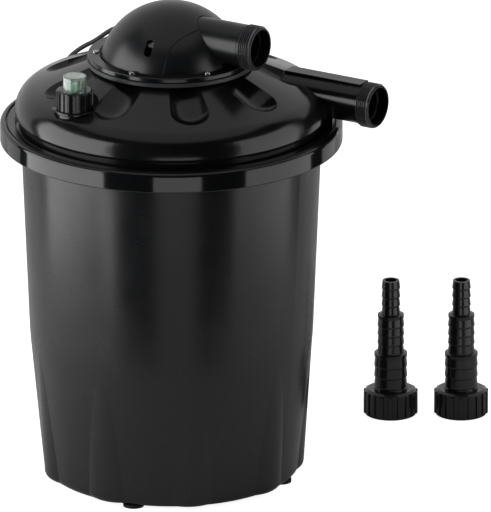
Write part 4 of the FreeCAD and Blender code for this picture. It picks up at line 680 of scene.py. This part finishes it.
def coil_half_turns():
    """The radius of each half turn and the layers that it starts and ends on."""
    layers, half_turns = sizes().coil_layers, sizes().coil_turns * 2
    step = sizes().coil_pitch / 2
    found = []
    for layer in range(layers):
        row = [(sizes().coil_radius - step * i, layer, layer) for i in range(half_turns)]
        found += row if layer % 2 == 0 else row[::-1]
        if layer < layers - 1:
            # the half turn that climbs to the next layer goes one step past the last
            widening = -half_turns if layer % 2 == 0 else 1
            found.append((sizes().coil_radius + step * widening, layer, layer + 1))
    return found[:-1]


def coil_points():
    """The coil's control points, half turn by half turn, from its outer left on the floor."""
    x, y, _ = LEAD_ROUTE[-1]
    step = math.pi / POINTS_PER_HALF_TURN
    # a quadratic spline runs inside its control points by this share
    inside = math.cos(step / 2)
    points = []
    for number, (radius, low, high) in enumerate(coil_half_turns()):
        side = 1 if number % 2 == 0 else -1
        middle = x + side * radius
        for i in range(POINTS_PER_HALF_TURN):
            angle = (i + 0.5) * step
            level = low + (high - low) * (1 - math.cos(angle)) / 2
            points.append((middle - side * radius / inside * math.cos(angle),
                           y + side * radius / inside * math.sin(angle),
                           sizes().lead_radius + sizes().coil_pitch * level))
        x += 2 * side * radius
    return points


def lead_curve(bevel):
    """The lead as one smooth curve through its control points."""
    points = LEAD_ROUTE + coil_points() + LEAD_END
    data = bpy.data.curves.new("lead_line", "CURVE")
    data.dimensions = "3D"
    spline = data.splines.new("NURBS")
    spline.points.add(len(points) - 1)
    for place, point in zip(spline.points, points):
        place.co = (*point, 1.0)
    spline.order_u = 3
    spline.use_endpoint_u = True
    data.resolution_u = 4
    data.bevel_depth = bevel
    data.bevel_resolution = 3
    data.use_fill_caps = True
    return bpy.data.objects.new("lead_line", data)


def mesh_of(curve):
    """A curve's mesh, and the curve put away."""
    bpy.context.scene.collection.objects.link(curve)
    bpy.context.view_layer.update()
    mesh = bpy.data.meshes.new_from_object(curve.evaluated_get(bpy.context.evaluated_depsgraph_get()))
    bpy.data.objects.remove(curve)
    return mesh


def plug_place():
    """Where the lead ends and which way it heads, as a turn about Z."""
    last, before = Vector(LEAD_END[-1]), Vector(LEAD_END[-2])
    heading = last - before
    return last, math.atan2(heading.y, heading.x)


def put_at_plug(bm):
    """Move a piece drawn along +X from the lead's end to where the lead ends."""
    last, turn = plug_place()
    bmesh.ops.rotate(bm, cent=(0, 0, 0), matrix=Matrix.Rotation(turn, 3, "Z"), verts=bm.verts)
    bmesh.ops.translate(bm, vec=last, verts=bm.verts)


def plug_body():
    """A flat moulded plug's body: a waisted block, beveled all round."""
    bm = bmesh.new()
    half_height, clear, edge_round = PLUG_HALF_HEIGHT, 0.02 * MM, 2.6 * MM
    # distance from the lead's end and half width, in millimetres
    stations = [(17.9, 5.5), (22.0, 6.0), (28.0, 11.6), (32.0, 12.9), (46.0, 12.9), (51.9, 12.4)]
    low = -half_height + clear
    outline = [bm.verts.new((x * MM, -y * MM, low)) for x, y in stations]
    outline += [bm.verts.new((x * MM, y * MM, low)) for x, y in reversed(stations)]
    bottom = bm.faces.new(outline)
    grown = bmesh.ops.extrude_face_region(bm, geom=[bottom])
    top = [item for item in grown["geom"] if isinstance(item, bmesh.types.BMVert)]
    bmesh.ops.translate(bm, vec=(0, 0, 2 * (half_height - clear)), verts=top)
    bmesh.ops.recalc_face_normals(bm, faces=bm.faces)
    rims = [edge for edge in bm.edges if abs(edge.verts[0].co.z - edge.verts[1].co.z) < 1e-6]
    bmesh.ops.bevel(bm, geom=rims, offset=edge_round, segments=4, profile=0.5, affect="EDGES",
                    material=-1)
    return bm


def add_ribs(bm):
    """Finger ribs round the plug's broad end."""
    count, first, spacing, edge_round = 4, 33.5 * MM, 2.6 * MM, 0.4 * MM
    rib_size = Vector((1.1, 26.0, 9.0)) * MM
    for number in range(count):
        rib = bmesh.new()
        bmesh.ops.create_cube(rib, size=1.0)
        bmesh.ops.scale(rib, vec=rib_size, verts=rib.verts)
        bmesh.ops.translate(rib, vec=(first + spacing * number, 0, 0), verts=rib.verts)
        bmesh.ops.bevel(rib, geom=rib.edges[:], offset=edge_round, segments=2, profile=0.5, affect="EDGES",
                        material=-1)
        add_to(bm, rib)


def relief_outline(start, first, end, last, rings):
    """Outline of a tapered strain relief with rings cut round it, as (radius, distance)."""
    outline = [(0.0, start), (first, start)]
    step = (end - start) / rings
    # each ring's two edges and the two of the groove after it, as shares of a step
    ring_start, ring_end, groove_start, groove_end = 0.18, 0.62, 0.68, 0.95
    groove_share = 0.84
    for number in range(rings):
        at = start + step * number
        radius = first + (last - first) * (number + 0.5) / rings
        outline += [(radius, at + step * ring_start), (radius, at + step * ring_end)]
        if number < rings - 1:
            cut = radius * groove_share
            outline += [(cut, at + step * groove_start), (cut, at + step * groove_end)]
    return outline + [(last, end), (0.0, end)]


def make_plug():
    """The plug's body with its relief, and its two pins."""
    body = plug_body()
    add_ribs(body)
    relief = turned(relief_outline(start=0.05 * MM, first=3.0 * MM, end=19.0 * MM, last=4.8 * MM, rings=7),
                    steps=32)
    lay_along_x(relief)
    add_to(body, relief)
    put_at_plug(body)
    case = add_piece(body, "plug_body", "plug_rubber", "tank", ("power_plug",))
    radius = sizes().pin_radius
    # where a pin starts inside the plug and where its rounded tip ends, from the lead's end
    foot, tip = 51.0 * MM, 70.9 * MM
    pins = bmesh.new()
    for side in (-0.5, 0.5):
        pin = turned([(0.0, foot), (radius, foot), (radius, tip - 1.5 * MM), (radius * 0.8, tip - 0.4 * MM),
                      (radius * 0.4, tip - 0.02 * MM), (0.0, tip)], steps=24)
        lay_along_x(pin)
        bmesh.ops.translate(pin, vec=(0, sizes().pin_spacing * side, 0), verts=pin.verts)
        add_to(pins, pin)
    put_at_plug(pins)
    return [case, add_piece(pins, "plug_pins", "plug_rubber", "tank", ("power_plug",), pin_nickel())]


class FILTER_OT_lead(bpy.types.Operator):
    """Lay the rubber lead from the dome to its coil behind the tank, with its plug"""
    bl_idname = "filter.lead"
    bl_label = "Lead and plug"

    def execute(self, context):
        tube = mesh_of(lead_curve(sizes().lead_radius))
        line = mesh_of(lead_curve(0.0))
        tube.materials.clear()
        tube.materials.append(material_of("cord_rubber"))
        tube.shade_smooth()
        lead = bpy.data.objects.new("lead", tube)
        context.scene.collection.objects.link(lead)
        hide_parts("power_cord", "power_cord_coil", "power_cord_tail")
        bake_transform(lead)
        make_plug()
        return {"FINISHED"}


# Ports


def thread_ridge(length_along):
    """A helical ridge about Z whose crests fade to the root at both ends."""
    pitch, crest = sizes().thread_pitch, sizes().thread_crest
    steps = 72
    sunk = sizes().thread_root - 0.2 * MM
    # half widths of the ridge's foot and crest, as shares of the pitch
    foot_half, crest_half = 0.47, 0.09
    # turns over which the ridge fades
    fading = 0.9
    outline = [(sunk, -foot_half), (crest, -crest_half), (crest, crest_half), (sunk, foot_half)]
    bm = bmesh.new()
    ring = [bm.verts.new((radius, 0.0, rise * pitch)) for radius, rise in outline]
    sides = [bm.edges.new(pair) for pair in zip(ring, ring[1:] + ring[:1])]
    bm.faces.new(ring)
    turns = length_along / pitch - 1.0
    swept = bmesh.ops.spin(bm, geom=ring + sides, cent=(0, 0, 0), axis=(0, 0, 1),
                           dvec=(0, 0, pitch / steps), angle=math.tau * turns, steps=int(steps * turns))
    last = [item for item in swept["geom_last"] if isinstance(item, bmesh.types.BMVert)]
    bmesh.ops.contextual_create(bm, geom=last)
    bmesh.ops.recalc_face_normals(bm, faces=bm.faces)
    bmesh.ops.translate(bm, vec=(0, 0, pitch * 0.5), verts=bm.verts)
    for vert in bm.verts:
        from_end = min(vert.co.z, length_along - vert.co.z)
        limit = sunk + (crest - sunk) * min(1.0, max(0.0, from_end / (pitch * fading)))
        reach = vert.co.xy.length
        if reach > limit:
            vert.co.xy *= limit / reach
    return bm


def make_thread(name, mouth, slot):
    """Lay a thread on a port whose mouth's middle is given and which points along +X."""
    end_gap = 0.3 * MM
    bm = thread_ridge(sizes().thread_length - 2 * end_gap)
    lay_along_x(bm)
    start = Vector(mouth) - Vector((sizes().thread_length - end_gap, 0, 0))
    bmesh.ops.translate(bm, vec=start, verts=bm.verts)
    add_piece(bm, name, slot, "lid", material=thread_painted_highlight())


class FILTER_OT_threads(bpy.types.Operator):
    """Cut the pipe threads of the two ports"""
    bl_idname = "filter.threads"
    bl_label = "Port threads"

    def execute(self, context):
        mounts = {mount["name"]: mount for mount in frame["record"]["mounts"]}
        for name, node, slot in (("inlet_thread", "inlet_housing", "dome_plastic"),
                                 ("outlet_thread", "lid_shell", "lid_plastic")):
            _, y, z = mounts[name]["pos_m"]
            make_thread(name, (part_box(node)[1].x, y, z), slot)
        return {"FINISHED"}


# Head


def cross_screw(place, turn):
    """A pan-head screw with a cross recess, standing on its seat."""
    radius, height = sizes().screw_head, sizes().screw_height
    count = 13
    # the cross's arm and half width, and the share that its floor narrows to, from the head's radius
    arm, half_width, narrowing = 0.62, 0.1, 0.86
    # the straight side's share of the head's height, and the power that rounds its crown
    side_share, crown_power = 0.45, 2.6
    deepest, shallower, skirt_depth = 1.5 * MM, 0.6, 0.05 * MM
    bm = bmesh.new()
    bmesh.ops.create_grid(bm, x_segments=count, y_segments=count, size=1.0)
    cross = []
    for face in bm.faces:
        spot = face.calc_center_median()
        along, across = max(abs(spot.x), abs(spot.y)), min(abs(spot.x), abs(spot.y))
        if along < arm and across < half_width:
            cross.append(face)
    for vert in bm.verts:
        x, y = vert.co.x, vert.co.y
        u, v = x * math.sqrt(1 - y * y / 2), y * math.sqrt(1 - x * x / 2)
        out = math.hypot(u, v)
        crown = math.sqrt(max(0.0, 1 - out ** crown_power))
        vert.co = Vector((u * radius, v * radius, height * (side_share + (1 - side_share) * crown)))
    sunk = bmesh.ops.extrude_face_region(bm, geom=cross)
    floor = [item for item in sunk["geom"] if isinstance(item, bmesh.types.BMVert)]
    bmesh.ops.delete(bm, geom=cross, context="FACES")
    for vert in floor:
        fall = deepest * (1 - shallower * vert.co.xy.length / (arm * radius))
        vert.co = Vector((vert.co.x * narrowing, vert.co.y * narrowing, height - fall))
    rim = [edge for edge in bm.edges if edge.is_boundary]
    wall = bmesh.ops.extrude_edge_only(bm, edges=rim)
    skirt = [item for item in wall["geom"] if isinstance(item, bmesh.types.BMVert)]
    for vert in skirt:
        vert.co.z = -skirt_depth
    loop = [item for item in wall["geom"] if isinstance(item, bmesh.types.BMEdge)]
    loop = [edge for edge in loop if edge.is_boundary]
    bmesh.ops.holes_fill(bm, edges=loop, sides=0)
    bmesh.ops.rotate(bm, cent=(0, 0, 0), matrix=Matrix.Rotation(turn, 3, "Z"), verts=bm.verts)
    bmesh.ops.translate(bm, vec=place, verts=bm.verts)
    bmesh.ops.recalc_face_normals(bm, faces=bm.faces)
    return bm


class FILTER_OT_screws(bpy.types.Operator):
    """Fit the six cross-head screws of the retaining ring"""
    bl_idname = "filter.screws"
    bl_label = "Ring screws"

    def execute(self, context):
        low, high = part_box("ring_screws")
        circle = (high.y - low.y) / 2 - sizes().screw_head
        count, first_angle, turned_on = 6, math.radians(30), 0.7
        bm = bmesh.new()
        for number in range(count):
            angle = first_angle + math.tau / count * number
            seat = (math.cos(angle) * circle, math.sin(angle) * circle, high.z - sizes().screw_height)
            add_to(bm, cross_screw(seat, number * turned_on))
        add_piece(bm, "ring_screw_heads", "screw_steel", "lid", ("ring_screws",), sharp=28.0)
        return {"FINISHED"}


# Media


def foam_disc(node, slot):
    """A foam disc with softly crowned faces, cut edges that waver a little and a round bore."""
    low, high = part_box(node)
    outer, bore = high.x, sizes().foam_bore
    soft = sizes().foam_round
    middle = (low.z + high.z) / 2
    half = (high.z - low.z) / 2
    outline = []
    # four rounded corners, each a quarter turn in three steps
    for radius, level, start in ((outer - soft, -half + soft, -90), (outer - soft, half - soft, 0),
                                 (bore + soft, half - soft, 90), (bore + soft, -half + soft, 180)):
        for i in range(4):
            angle = math.radians(start + 30 * i)
            outline.append((radius + math.cos(angle) * soft, middle + level + math.sin(angle) * soft))
    bm = turned(outline, steps=120)
    longest, broad_wave, fine_wave = 12 * MM, 22 * MM, 7 * MM
    side_sag, face_sag, side_waver = 0.7 * MM, 0.5 * MM, 0.6
    long_edges = [edge for edge in bm.edges if edge.calc_length() > longest]
    bmesh.ops.subdivide_edges(bm, edges=long_edges, cuts=7, use_grid_fill=True)
    for vert in bm.verts:
        waver = noise.noise(vert.co * (1 / broad_wave)) + 0.5 * noise.noise(vert.co * (1 / fine_wave))
        across = Vector((vert.co.x, vert.co.y, 0)).normalized()
        side = 1.0 if vert.co.xy.length > (outer + bore) / 2 else -1.0
        vert.co -= across * side * side_sag * (1 + waver * side_waver)
        vert.co.z -= face_sag * (1 + waver) * (1 if vert.co.z > middle else -1)
    piece = add_piece(bm, node.replace("ring", "disc"), slot, "tank", (node,), sharp=180.0)


class FILTER_OT_foams(bpy.types.Operator):
    """Stack the four foam discs round the inner tube"""
    bl_idname = "filter.foams"
    bl_label = "Foam discs"

    def execute(self, context):
        slots = {part["node"]: part["material_slot"] for part in frame["record"]["subparts"]}
        for node in sorted(name for name in frame["nodes"] if name.startswith("foam_ring")):
            foam_disc(node, slots[node])
        return {"FINISHED"}


class FILTER_OT_finishes(bpy.types.Operator):
    """Give every construction piece its finish"""
    bl_idname = "filter.finishes"
    bl_label = "Finishes"

    def execute(self, context):
        for part in frame["record"]["subparts"]:
            node = frame["nodes"][part["node"]]
            node.data.materials.clear()
            node.data.materials.append(material_of(part["material_slot"]))
        return {"FINISHED"}


class FILTER_PT_panel(bpy.types.Panel):
    """Lists the filter's pieces, sizes and colours"""
    bl_idname = "FILTER_PT_panel"
    bl_label = "Canister filter"
    bl_space_type = "VIEW_3D"
    bl_region_type = "UI"
    bl_category = "Filter"

    def draw(self, context):
        for step in STEPS:
            self.layout.operator(step.bl_idname)
        for group in (context.scene.filter_sizes, context.scene.filter_colours, context.scene.filter_stage):
            for name in group.__annotations__:
                self.layout.prop(group, name)


STEPS = [FILTER_OT_stage, FILTER_OT_lead, FILTER_OT_threads, FILTER_OT_screws, FILTER_OT_foams,
         FILTER_OT_finishes]
GROUPS = {"filter_sizes": FilterSizes, "filter_colours": FilterColours, "filter_stage": FilterStage}
CLASSES = [*GROUPS.values(), *STEPS, FILTER_PT_panel]


def register():
    for item in CLASSES:
        bpy.utils.register_class(item)
    for name, group in GROUPS.items():
        setattr(bpy.types.Scene, name, PointerProperty(type=group))


def unregister():
    for name in GROUPS:
        delattr(bpy.types.Scene, name)
    for item in reversed(CLASSES):
        bpy.utils.unregister_class(item)


def main():
    register()
    for step in STEPS:
        family, action = step.bl_idname.split(".")
        getattr(getattr(bpy.ops, family), action)()


if __name__ == "__main__":
    main()
